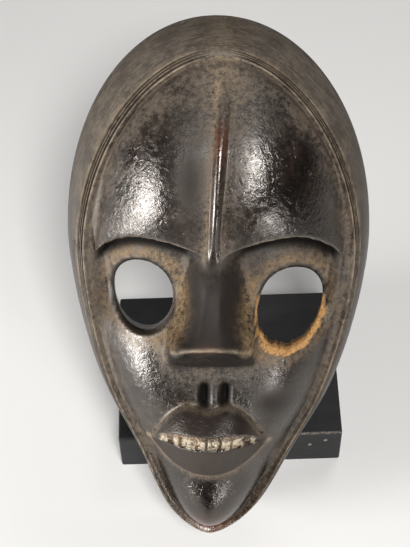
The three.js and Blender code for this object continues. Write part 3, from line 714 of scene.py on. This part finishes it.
def markMask(mesh):
    c = carving
    place = np.empty(len(mesh.vertices) * 3)
    mesh.vertices.foreach_get("co", place)
    place = place.reshape(-1, 3) / mm
    x, y, z = place.T
    across = np.abs(x)
    turns, rings, away = nearestBand(place)
    walked = rings * bandLength(turns)
    half = ovalHalf(contour, y)
    inContour = np.abs(x - ovalMiddle(contour, y)) < half
    front = (z > faceZ(x, y) - 2.0) & inContour
    band = (away < 1.6) & ~front
    hollow = ~front & ~band
    upper = smooth(-0.1, 0.75, np.sin(turns))
    leftEdge, rightEdge = eyeDistance(leftEye, x, y), eyeDistance(rightEye, x, y)
    socket = np.minimum(leftEdge, rightEdge)
    marks = {}
    # matt crown and side band
    marks["matt"] = np.where(band, 0.25 + 0.75 * upper * smooth(2.5, 9, walked), 0)
    # grooves cut beside the contour line: painted shade at the bottom, pale on the crests between them
    upperSide = smooth(-0.9, 0.2, np.sin(turns)) * lineStrength(turns)
    grooves = np.where(band, sum(bell(walked - step, 0.65) for step in c["grooveSteps"]) * upperSide, 0)
    crests = sum(bell(walked - step, width) for step, width in ((2.9, 0.6), (5.1, 0.5), (7.3, 0.7)))
    crests = np.where(band, crests * upperSide, 0)
    edgeWalk = half - np.abs(x - ovalMiddle(contour, y))
    offLine = 1 - smooth(half - 9, half - 5, across)
    level = y - c["featureTilt"] * x
    aside = x - c["ridgeLean"] * (y - c["ridgeFoot"])
    below = browY(x) - y
    mouthAcross = np.abs(x - c["mouthMiddle"])
    top, upperLip, lowerLip, foot = mouthEdges(mouthAcross)
    inMouth = mouthAcross < c["mouthHalf"] + 2
    noseHalf = noseAt(level)[1]
    noseFoot = smooth(c["noseBase"] - 4, c["noseBase"] + 4, level)
    # dust lodged beside what stands out
    lipLine = (bell(level - top - 0.8, 1.2) + bell(level - foot + 1.0, 1.4)) * inMouth
    noseSide = bell(across - noseHalf - 1.0, 3.0) * smooth(10, -2, level) * noseFoot
    ridgeSide = bell(np.abs(aside) - 3.6, 1.7) * smooth(92, 80, y) * smooth(4, 14, y)
    ridgeSide = ridgeSide * np.where(aside < 0, 1, 0.4)
    crownMiddle = bell(x - 2, 9) * smooth(70, 90, y)
    dust = 0.75 * ridgeSide + 0.5 * lipLine + 0.45 * noseSide + 0.35 * bell(edgeWalk - 2.0, 1.6)
    marks["dust"] = np.clip(0.7 * crests + np.where(front, dust, 0) + 0.6 * crownMiddle, 0, 1)
    # broad dull areas where the polish is worn
    nearLine = smooth(12, 2.5, edgeWalk)
    dull = 0.8 * nearLine * smooth(-100, -70, y) + 0.75 * smooth(52, 76, y)
    dull = dull + 0.5 * bell(np.abs(aside) - 7, 5) * smooth(0, 20, y)
    dull = dull + 0.75 * bell(level + 47, 7) * smooth(30, 14, across) + 0.55 * noseSide
    dull = dull + 0.5 * bell(below - 7, 5) * (1 - nearLine)
    dull = dull + 0.5 * bell(mouthAcross - 27, 6) * bell(level + 78, 14)
    marks["dull"] = np.where(front, np.clip(dull, 0, 1), 0)
    # painted shade in the recesses: the grooves, the philtrum's pits, under the brows, the nostrils and round
    # the eye holes
    philtrum = bell(np.abs(x - c["philtrumMiddle"]) - c["philtrumSpacing"], 3.0)
    philtrum = philtrum * smooth(c["philtrumTop"] + 3, c["philtrumTop"] - 1, level)
    philtrum = philtrum * smooth(c["philtrumFoot"] - 4, c["philtrumFoot"] - 1.5, level)
    browShade = bell(below - 3.4, 3.0) * smooth(7, 14, across) * offLine
    nostrils = smooth(0, 5, noseEdge(x) - level) * (across < 19)
    nostrils = nostrils * smooth(c["noseBase"] - 2, c["noseBase"] + 1, level)
    recessShade = 1.15 * philtrum + 1.0 * browShade + 0.6 * nostrils + 0.45 * bell(socket - 0.9, 0.9)
    marks["recessShade"] = np.clip(0.75 * grooves + np.where(front, recessShade, 0), 0, 1)
    # ochre dust round the eyes, thickest above them and beside the nose
    bySide = 0.55 + 0.45 * smooth(42, 20, across) + 0.35 * smooth(-8, 2, y)
    ochre = bySide * bell(np.maximum(socket - 4.5, 0), 3.5) * smooth(1.6, 3.4, socket)
    marks["ochre"] = np.clip(np.where(front, ochre, 0) * smooth(3.0, 7.0, below), 0, 1)
    # the broken rim of the eye on the right, down to raw wood
    turn = np.degrees(np.arctan2(y - rightEye["y"], x - rightEye["x"])) % 360
    lossAside = np.abs(turn - 286)
    lossAside = np.minimum(lossAside, 360 - lossAside)
    leftAside = np.abs(turn - 190)
    raw = np.where(rightEdge < 1.0, smooth(78, 66, lossAside), 0)
    raw = np.where((rightEdge >= 1.0) & (rightEdge < 2.4), smooth(62, 48, lossAside), raw)
    marks["raw"] = np.maximum(raw, np.where(rightEdge < 1.1, 0.75 * smooth(24, 14, leftAside), 0))
    # what shines: the ridge, the lips, the lobes, the chin
    ridge = smooth(3.0, 2.0, np.abs(aside)) * smooth(78, 58, y) * smooth(4, 10, y)
    lips = ((level < top) & (level > upperLip) & (mouthAcross < c["mouthHalf"])) * 0.35
    gloss = ridge + lips + 0.5 * smooth(-98, -112, y) + 0.5 * bell(socket - 0.9, 1.2)
    gloss = gloss + 0.7 * bell(below + 1.0, 1.2) * smooth(6, 13, across)
    gloss = gloss + 0.35 * bell(across - 24, 16) * bell(y - 40, 24)
    gloss = gloss + 0.35 * bell(across - 32, 14) * bell(y + 45, 18)
    marks["gloss"] = np.where(front, np.clip(gloss, 0, 1), 0)
    # reddish rubbed spots: on the ridge, the chin's tip and the nose's tip
    red = 0.8 * ridge * bell(y - 63, 9) + 0.9 * bell(y + 130, 8) * bell(x, 9)
    red = red + 0.9 * bell(x + 1, 5) * bell(level - c["noseTip"] - 0.5, 2.0)
    marks["red"] = np.where(front, np.clip(red, 0, 1), 0)
    # painted highlight lines along the edges: the contour line, the brows, the nose's and lips' edges
    contourLine = bell(np.where(band, walked, edgeWalk + 0.2), 0.8)
    contourLine = np.where(band | front, contourLine, 0) * lineStrength(turns)
    browEdge = np.where(front, bell(below + 0.6, 0.7) * smooth(6, 13, across) * offLine, 0)
    noseLine = np.where(front, bell(level - noseEdge(x) - 0.4, 0.7) * (across < 18), 0)
    lipEdge = 0.4 * bell(level - top + 0.6, 0.7) + 0.9 * bell(level - foot - 0.6, 0.8)
    lipEdge = np.where(front & inMouth, lipEdge, 0)
    rimLine = np.where(front, 0.5 * bell(socket - 2.2, 0.45), 0)
    edge = 0.9 * contourLine + 0.9 * browEdge + 0.9 * noseLine + lipEdge + rimLine + 0.3 * crests
    marks["edge"] = np.clip(edge, 0, 1)
    inTeeth = front & (level < upperLip - 0.3) & (level > lowerLip + 0.2)
    inTeeth = inTeeth & (mouthAcross < c["mouthHalf"] * 0.81)
    marks["teeth"] = np.where(inTeeth, 1.0, 0)
    # teeth of uneven width, with painted light towards their lower edge and painted shade in the gaps and
    # under the upper lip
    wander = 0.9 * np.sin(x * 0.55 + 1.0) + 0.5 * np.sin(x * 1.3)
    gap = fromToothMiddle(x - c["mouthMiddle"] + wander)
    lowShare = np.clip((upperLip - level) / np.maximum(0.1, upperLip - lowerLip), 0, 1)
    marks["toothLight"] = np.where(inTeeth, smooth(1.0, 0.6, gap) * smooth(0.1, 0.75, lowShare), 0)
    # satin fields that catch no light, darkened with painted shade: the nose, beside the ridge and on the
    # cheeks
    nose = (across < noseHalf - 1) & (level < 12) & (level > noseEdge(x) - 1)
    satinShade = 0.9 * bell(x + 11.5, 6.5) * bell(y - 44, 20) + 0.9 * bell(x - 27, 9) * bell(y + 59, 7)
    satinShade = satinShade + 0.6 * bell(x + 49, 6) * bell(y + 22, 10)
    marks["satinShade"] = np.clip(np.where(front & nose, smooth(14, 2, y), 0) + np.where(front, satinShade, 0), 0, 1)
    # both lips, the lower one duller; the upper lip's paler brown is a painted sheen
    inLips = front & (mouthAcross < c["mouthHalf"])
    lip = np.where(inLips & (level < lowerLip) & (level > foot), 1.0, 0)
    marks["lip"] = np.where(inLips & (level > upperLip) & (level < top), 0.6, lip)
    marks["inside"] = np.where(hollow & (socket > 0.4), 1.0, 0)
    # the eye holes' walls, which get painted shade
    marks["wall"] = np.where(~front & ~band & (socket <= 0.4), 1.0, 0)
    for name, values in marks.items():
        mesh.attributes.new(name, "FLOAT", "POINT").data.foreach_set("value", values.astype(np.float32))
    along = np.stack([turns * 0.6, walked * 0.1, np.zeros_like(turns)], -1).astype(np.float32)
    mesh.attributes.new("along", "FLOAT_VECTOR", "POINT").data.foreach_set("vector", along.ravel())


# Shader sums: wraps a socket so that plain arithmetic makes the nodes
class Wire:
    def __init__(self, tree, socket):
        self.tree = tree
        self.socket = socket

    def node(self, kind, settings=None, output=0, **inputs):
        made = self.tree.nodes.new("ShaderNode" + kind)
        for name, value in (settings or {}).items():
            setattr(made, name, value)
        for name, value in inputs.items():
            key = int(name[1:]) if name[0] == "i" and name[1:].isdigit() else name.replace("_", " ")
            target = made.inputs[key]
            if isinstance(value, Wire):
                self.tree.links.new(value.socket, target)
            else:
                target.default_value = value
        return Wire(self.tree, made.outputs[output])

    def maths(self, operation, *values, clamp=False):
        inputs = {"i" + str(k): v for k, v in enumerate(values)}
        return self.node("Math", {"operation": operation, "use_clamp": clamp}, **inputs)

    def __add__(self, other):
        return self.maths("ADD", self, other)

    def __radd__(self, other):
        return self.maths("ADD", other, self)

    def __sub__(self, other):
        return self.maths("SUBTRACT", self, other)

    def __rsub__(self, other):
        return self.maths("SUBTRACT", other, self)

    def __mul__(self, other):
        return self.maths("MULTIPLY", self, other)

    def __rmul__(self, other):
        return self.maths("MULTIPLY", other, self)

    def clamped(self):
        return self.maths("ADD", self, 0.0, clamp=True)

    def fade(self, start, end):
        return self.node("MapRange", {"interpolation_type": "SMOOTHSTEP"}, Value=self,
                         From_Min=start, From_Max=end)

    def folded(self):
        shifted = self - 0.5
        return shifted.maths("ABSOLUTE", shifted)

    def noise(self, place, scale, detail=3.0, roughness=0.55, distortion=0.0):
        return self.node("TexNoise", None, 0, Vector=place, Scale=scale, Detail=detail,
                         Roughness=roughness, Distortion=distortion)

    def stretched(self, place, factor):
        return self.node("VectorMath", {"operation": "MULTIPLY"}, 0, i0=place, i1=factor)

    def tint(self, below, above):
        low, high = (c if isinstance(c, Wire) else (*c, 1) for c in (below, above))
        return self.node("Mix", {"data_type": "RGBA"}, 2, i0=self, i6=low, i7=high)


def startMaterial(name):
    material = bpy.data.materials.new(name)
    material.use_nodes = True
    tree = material.node_tree
    shader = tree.nodes["Principled BSDF"]
    return material, shader, Wire(tree, None).node("TexCoord", None, "Object")


def finishMaterial(place, shader, colour, roughness, height, strength, distance):
    tree = place.tree
    tree.links.new(colour.socket, shader.inputs["Base Color"])
    tree.links.new(roughness.socket, shader.inputs["Roughness"])
    bump = place.node("Bump", None, 0, Strength=strength, Distance=distance, Height=height)
    tree.links.new(bump.socket, shader.inputs["Normal"])
    return bump


maskWood = {
    "dark": (0.0040, 0.0026, 0.0021),
    "brown": (0.0150, 0.0085, 0.0056),
    "mottle": (0.044, 0.031, 0.021),
    "red": (0.085, 0.022, 0.010),
    # satin: the painted shade on the satin fields
    "satinShade": (0.0090, 0.0065, 0.0055),
    # lip: the lower lip's own brown, and a painted sheen on the upper lip
    "lip": (0.030, 0.020, 0.015),
    "matt": (0.165, 0.134, 0.102),
    "mattDark": (0.055, 0.045, 0.036),
    "dust": (0.27, 0.20, 0.13),
    "ochre": (0.235, 0.158, 0.086),
    # deep: the colour of the painted shade in the recesses and on the eye holes' walls
    "paintedShade": (0.0040, 0.0030, 0.0025),
    "raw": (0.52, 0.29, 0.115),
    "rawDark": (0.26, 0.13, 0.05),
    # edge: the colour of the painted highlight lines along the edges
    "edge": (0.36, 0.28, 0.20),
    "inside": (0.055, 0.036, 0.024),
    "insideDark": (0.020, 0.013, 0.009),
    "teeth": (0.46, 0.385, 0.28),
    "teethBrown": (0.19, 0.125, 0.072),
    "teethDark": (0.03, 0.02, 0.013),
    "broadScale": 26, "blotchScale": 95, "fineScale": 430, "grainScale": 1500, "pitScale": 520.0,
    "wrinkleScale": 390, "splinterScale": 900, "toothScale": 560,
    "polish": 0.165, "gloss": 0.85, "glossTint": (1.0, 0.93, 0.86, 1.0), "coatRoughness": 0.2,
    "mattRoughness": 0.8, "mattGloss": 0.1, "bumpStrength": 0.75, "bumpDistance": 0.0010,
}


def maskMaterial():
    w = maskWood
    material, shader, place = startMaterial("darkCarvedWood")
    tree = place.tree

    def mark(name, output=2):
        return place.node("Attribute", {"attribute_name": name}, output)

    along = mark("along", 1)
    broad = place.noise(place, w["broadScale"], 3)
    blotch = place.noise(place, w["blotchScale"], 4, 0.62)
    fine = place.noise(place, w["fineScale"], 4, 0.68)
    grain = place.noise(place, w["grainScale"], 2, 0.6)
    strands = place.noise(place.stretched(along, (3.0, 3.2, 1.0)), 4.0, 5, 0.65)
    scratches = place.noise(place.stretched(along, (5.0, 14.0, 1.0)), 4.0, 3, 0.6)
    pits = place.node("TexVoronoi", {"feature": "F1"}, 0, Vector=place, Scale=w["pitScale"])
    pitting = pits.fade(0.26, 0.08) * blotch.fade(0.46, 0.62)

    mattMark, dustMark, recessShadeMark = mark("matt"), mark("dust"), mark("recessShade")
    glossMark, redMark, satinShadeMark = mark("gloss"), mark("red"), mark("satinShade")
    dullMark, wallMark, lipAndSheenMark = mark("dull"), mark("wall"), mark("lip")
    # worn patina: dark glossy wood broken by dull brown mottling
    worked = blotch * 0.45 + fine * 0.4 + broad * 0.3
    mottled = (worked + dullMark * 0.10).fade(0.57, 0.74) * (1 - glossMark * 0.7)
    colour = (broad * 0.5 + blotch * 0.5).fade(0.38, 0.66).tint(w["dark"], w["brown"])
    colour = (mottled * (0.4 + dullMark * 0.6)).tint(colour, w["mottle"])
    colour = (dullMark * (fine * 0.7 + grain * 0.5).fade(0.44, 0.80) * 0.45).tint(colour, w["matt"])
    colour = (pitting * 0.10).tint(colour, w["dust"])
    colour = (redMark * (0.5 + 0.8 * broad)).clamped().tint(colour, w["red"])
    # painted shade over the satin fields
    colour = (satinShadeMark * 0.65).tint(colour, w["satinShade"])
    # the lips a paler brown: the lower lip's own colour, a painted sheen on the upper lip
    colour = (lipAndSheenMark * (0.35 + 0.8 * blotch)).clamped().tint(colour, w["lip"])
    colour = (lipAndSheenMark * (blotch * 0.5 + fine * 0.5).fade(0.50, 0.66) * 0.6).tint(colour, w["dark"])
    crown = (strands * 0.5 + fine * 0.25 + blotch * 0.35).fade(0.46, 0.68).tint(w["mattDark"], w["matt"])
    crown = (scratches.fade(0.56, 0.70) * 0.45).tint(crown, w["dust"])
    colour = mattMark.tint(colour, crown)
    insideMark = mark("inside")
    inner = (blotch * 0.5 + strands * 0.5).fade(0.35, 0.7).tint(w["insideDark"], w["inside"])
    colour = insideMark.tint(colour, inner)
    lodged = (dustMark * (0.1 + 1.1 * (fine * 0.6 + grain * 0.4).fade(0.38, 0.62))).clamped()
    colour = (lodged * 0.6).tint(colour, w["dust"])
    ochre = (mark("ochre") * (fine * 0.65 + grain * 0.35 + blotch * 0.25).fade(0.46, 0.76)).clamped()
    colour = (ochre * 0.85).tint(colour, w["ochre"])
    # painted shade: the recesses and the eye holes' walls darkened
    colour = (recessShadeMark * 0.95).clamped().tint(colour, w["paintedShade"])
    colour = (wallMark * 0.7).tint(colour, w["paintedShade"])
    # painted highlight lines along the edges, broken into patches
    wearAndHighlight = (mark("edge") * (0.35 + (fine * 0.5 + blotch * 0.6).fade(0.44, 0.66) * 0.8)).clamped()
    colour = (wearAndHighlight * 0.6).tint(colour, w["edge"])
    rawMark = (mark("raw") * (0.6 + 0.9 * fine)).clamped()
    splinters = place.noise(place.stretched(place, (1.0, 1.0, 0.4)), w["splinterScale"], 3, 0.6)
    raw = splinters.fade(0.30, 0.56).tint(w["rawDark"], w["raw"])
    colour = rawMark.tint(colour, raw)
    teethMark, toothLightMark = mark("teeth"), mark("toothLight")
    patches = place.noise(place, w["toothScale"], 3, 0.6)
    # cream residue, thickest where the teeth carry painted light
    residueAndLight = (toothLightMark * 0.34 + patches * 0.9 + grain * 0.2).fade(0.68, 0.90)
    stained = (blotch * 0.5 + fine * 0.5).fade(0.4, 0.6).tint(w["teethDark"], w["teethBrown"])
    colour = (teethMark * 0.95).tint(colour, residueAndLight.tint(stained, w["teeth"]))

    roughness = w["polish"] + 0.12 * blotch + mottled * 0.12 + pitting * 0.08 + dullMark * 0.26
    roughness = roughness - glossMark * 0.06 + satinShadeMark * 0.38 + lipAndSheenMark * 0.25
    roughness = roughness + mattMark * 0.34 + lodged * 0.35 + ochre * 0.35 + rawMark * 0.4 + recessShadeMark * 0.35
    roughness = place.maths("MINIMUM", roughness + insideMark * 0.3, 0.95)
    wrinkles = place.noise(place.stretched(place, (1.0, 1.0, 0.7)), w["wrinkleScale"], 4, 0.62, 0.5).folded()
    height = blotch * 0.26 + wrinkles * 0.62 + fine * 0.17 - pitting * 0.15
    height = height * (1 - glossMark * 0.35) * (1 - satinShadeMark * 0.5)
    height = height + (strands * 1.6 + scratches * 0.5) * mattMark
    height = height + rawMark * splinters * 1.5 + teethMark * residueAndLight * 0.8 + insideMark * strands * 0.6
    bump = finishMaterial(place, shader, colour, roughness, height, w["bumpStrength"], w["bumpDistance"])
    shader.inputs["Coat Roughness"].default_value = w["coatRoughness"]
    shader.inputs["Specular IOR Level"].default_value = w["gloss"]
    shader.inputs["Specular Tint"].default_value = w["glossTint"]
    coat = glossMark * 0.30 * (1 - mattMark) * (1 - insideMark) * (1 - lodged) * (1 - rawMark)
    coat = coat * (1 - recessShadeMark) * (1 - dullMark * 0.7) * (1 - satinShadeMark * 0.5) * (1 - lipAndSheenMark * 0.8)
    tree.links.new(coat.clamped().socket, shader.inputs["Coat Weight"])
    # dirt, dust, worn patches and the painted shade in the recesses barely shine
    matt = place.node("BsdfPrincipled", None, 0, Base_Color=colour, Roughness=w["mattRoughness"],
                      Specular_IOR_Level=w["mattGloss"], Normal=bump)
    unpolished = recessShadeMark * 0.9 + mattMark * 0.75 + ochre * 0.7 + lodged * 0.5 + rawMark * 0.9
    unpolished = (unpolished + insideMark * 0.5 + satinShadeMark * 0.62 + lipAndSheenMark * 0.5 + dullMark * 0.4).clamped()
    surface = place.node("MixShader", None, 0, i0=unpolished, i1=Wire(tree, shader.outputs[0]), i2=matt)
    tree.links.new(surface.socket, tree.nodes["Material Output"].inputs["Surface"])
    return material


blockPaint = {
    "black": (0.0060, 0.0060, 0.0068),
    "grey": (0.0125, 0.0125, 0.0130),
    # worn: the chips and dust, and the painted highlight line on the front top edge
    "wearAndHighlight": (0.30, 0.25, 0.20),
    "bevel": 1.1,
    "bevelSegments": 3,
    "gloss": 0.35,
    "edgeHighlightFront": (-0.0412, -0.0420),
    "edgeHighlightLevel": (0.0266, 0.0274),
    "edgeHighlightAcross": (-0.03, 0.045),
    "specks": ((-0.0473, -0.0385, 0.028), (0.0478, -0.0425, 0.0205), (0.0402, -0.0425, 0.0165)),
}


def blockMaterial():
    b = blockPaint
    material, shader, place = startMaterial("blackPaintedWood")
    streaks = place.noise(place.stretched(place, (0.12, 1.0, 1.0)), 260, 4, 0.6)
    fine = place.noise(place, 900, 3, 0.6)
    broad = place.noise(place, 40, 3)
    colour = (broad * 0.5 + streaks * 0.5).fade(0.35, 0.7).tint(b["black"], b["grey"])
    dust = place.node("TexVoronoi", {"feature": "F1"}, 0, Vector=place, Scale=240.0)
    dots = dust.fade(0.10, 0.05) * broad.fade(0.5, 0.7)
    colour = (dots * 0.35).tint(colour, b["wearAndHighlight"])
    for speck in b["specks"]:
        away = place.node("VectorMath", {"operation": "DISTANCE"}, 1, i0=place, i1=speck)
        colour = ((away + (fine - 0.5) * 0.0014).fade(0.0011, 0.0007)).tint(colour, b["wearAndHighlight"])
    # painted highlight: a thin pale line along the front top edge, stronger at the right
    across, front, level = (place.node("SeparateXYZ", None, k, Vector=place) for k in range(3))
    edgeHighlight = front.fade(*b["edgeHighlightFront"]) * level.fade(*b["edgeHighlightLevel"]) * across.fade(*b["edgeHighlightAcross"])
    colour = (edgeHighlight * fine.fade(0.35, 0.6) * 0.5).tint(colour, b["wearAndHighlight"])
    roughness = 0.36 + 0.22 * broad + 0.12 * fine + dots * 0.2
    finishMaterial(place, shader, colour, roughness, streaks * 0.6 + fine * 0.4, 0.4, 0.0004)
    shader.inputs["Specular IOR Level"].default_value = b["gloss"]
    return material


rodPaint = {
    "black": (0.008, 0.008, 0.008),
    "grey": (0.016, 0.0155, 0.015),
    "chipped": (0.09, 0.07, 0.055),
    "roughness": 0.34,
}


def rodMaterial():
    r = rodPaint
    material, shader, place = startMaterial("blackPaintedSteel")
    broad = place.noise(place, 90, 3)
    fine = place.noise(place, 1400, 3, 0.6)
    colour = broad.fade(0.35, 0.7).tint(r["black"], r["grey"])
    chips = place.noise(place, 260, 4, 0.6)
    colour = (chips.fade(0.66, 0.72) * 0.5).tint(colour, r["chipped"])
    roughness = r["roughness"] + broad * 0.2 + fine * 0.08
    finishMaterial(place, shader, colour, roughness, fine * 0.5 + broad * 0.5, 0.3, 0.0003)
    return material


# The mask
maskOfWood = maskMaterial()
maskMesh = carveMask(maskOfWood)
print("mask carved:", len(maskMesh.vertices), "points", len(maskMesh.polygons), "faces")
markMask(maskMesh)
maskMesh.transform(maskPlace())
keepInside(maskMesh, *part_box("mask"))
maskMesh.polygons.foreach_set("use_smooth", [True] * len(maskMesh.polygons))
maskMesh.materials.clear()
maskMesh.materials.append(maskOfWood)
maskMesh.update()
mask = placeObject("maskCarved", maskMesh)
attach(mask, "root")
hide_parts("mask")
print("mask marked and placed")

# The block, its edges just broken
low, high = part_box("stand_block")
blockMesh = bpy.data.meshes.new("block")
shape = bmesh.new()
bmesh.ops.create_cube(shape, size=1)
size = Vector(high) - Vector(low)
middle = (Vector(high) + Vector(low)) / 2
for vertex in shape.verts:
    vertex.co = Vector(a * b for a, b in zip(vertex.co, size)) + middle
bmesh.ops.bevel(shape, geom=shape.edges[:], offset=blockPaint["bevel"] * mm,
                segments=blockPaint["bevelSegments"], profile=0.5, affect="EDGES")
shape.to_mesh(blockMesh)
shape.free()
block = placeObject("blockPainted", blockMesh)
blockMesh.materials.append(blockMaterial())
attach(block, "root")
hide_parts("stand_block")

# The rod keeps its frame shape
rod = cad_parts["stand_rod"]
rod.data.materials.clear()
rod.data.materials.append(rodMaterial())
print("stand ready")

# Pale paper floor under soft studio light
room = {
    "floor": (0.72, 0.708, 0.690),
    "floorHalf": 3.0,
    "floorRoughness": 0.85,
    "world": (0.80, 0.79, 0.78),
    "worldStrength": 0.05,
    "lamps": (
        ("leftWindow", (-0.92, -0.40, 0.27), (0, -0.02, 0.12), (0.28, 0.42), 13.0),
        ("frontSoft", (0.12, -0.74, 1.17), (0, -0.02, 0.12), (0.30, 0.27), 15.5),
        ("rightLow", (0.50, -0.90, 0.27), (0, -0.02, 0.12), (0.16, 0.20), 3.0),
        ("above", (0.50, 0.70, 1.25), (0.1, 0.1, 0.0), (0.6, 0.6), 4.5),
    ),
}
floorMesh = bpy.data.meshes.new("floor")
side = room["floorHalf"]
corners = [(-side, -side, 0), (side, -side, 0), (side, side, 0), (-side, side, 0)]
floorMesh.from_pydata(corners, [], [(0, 1, 2, 3)])
floor = placeObject("floor", floorMesh)
paper, paperShader, paperPlace = startMaterial("palePaper")
cloudy = paperPlace.noise(paperPlace, 3, 2)
paperColour = cloudy.fade(0.3, 0.7).tint(tuple(v * 0.97 for v in room["floor"]), room["floor"])
paperRoughness = room["floorRoughness"] + cloudy * 0.1
paperGrain = paperPlace.noise(paperPlace, 900, 2)
finishMaterial(paperPlace, paperShader, paperColour, paperRoughness, paperGrain, 0.1, 0.0002)
floorMesh.materials.append(paper)

world = bpy.data.worlds.new("studio")
world.use_nodes = True
world.node_tree.nodes["Background"].inputs[0].default_value = (*room["world"], 1)
world.node_tree.nodes["Background"].inputs[1].default_value = room["worldStrength"]
bpy.context.scene.world = world
bpy.context.scene.view_settings.view_transform = "Standard"
for name, place, aim, size, power in room["lamps"]:
    light = bpy.data.lights.new(name, "AREA")
    light.shape = "RECTANGLE"
    light.size, light.size_y = size
    light.energy = power
    lamp = bpy.data.objects.new(name, light)
    lamp.location = place
    lamp.rotation_euler = (Vector(aim) - Vector(place)).to_track_quat("-Z", "Y").to_euler()
    bpy.context.scene.collection.objects.link(lamp)

# Camera: 55.3 degrees above the horizon, with a small roll
cameraView = {
    "place": (-0.01015, -0.3735, 0.6495),
    "elevation": 55.3,
    "roll": -1.82,
    "lens": 122.93,
    "sensor": 36.0,
}
lens = bpy.data.cameras.new("camera")
lens.sensor_fit = "HORIZONTAL"
lens.sensor_width = cameraView["sensor"]
lens.lens = cameraView["lens"]
camera = bpy.data.objects.new("camera", lens)
tilt, roll = math.radians(cameraView["elevation"]), math.radians(cameraView["roll"])
back = Vector((0, -math.cos(tilt), math.sin(tilt)))
rise = Vector((0, math.sin(tilt), math.cos(tilt)))
right = Vector((1, 0, 0)) * math.cos(roll) + rise * math.sin(roll)
upward = Vector((-1, 0, 0)) * math.sin(roll) + rise * math.cos(roll)
camera.matrix_world = Matrix((
    (right.x, upward.x, back.x, cameraView["place"][0]),
    (right.y, upward.y, back.y, cameraView["place"][1]),
    (right.z, upward.z, back.z, cameraView["place"][2]),
    (0, 0, 0, 1),
))
bpy.context.scene.collection.objects.link(camera)
bpy.context.scene.camera = camera
print("light and camera ready")
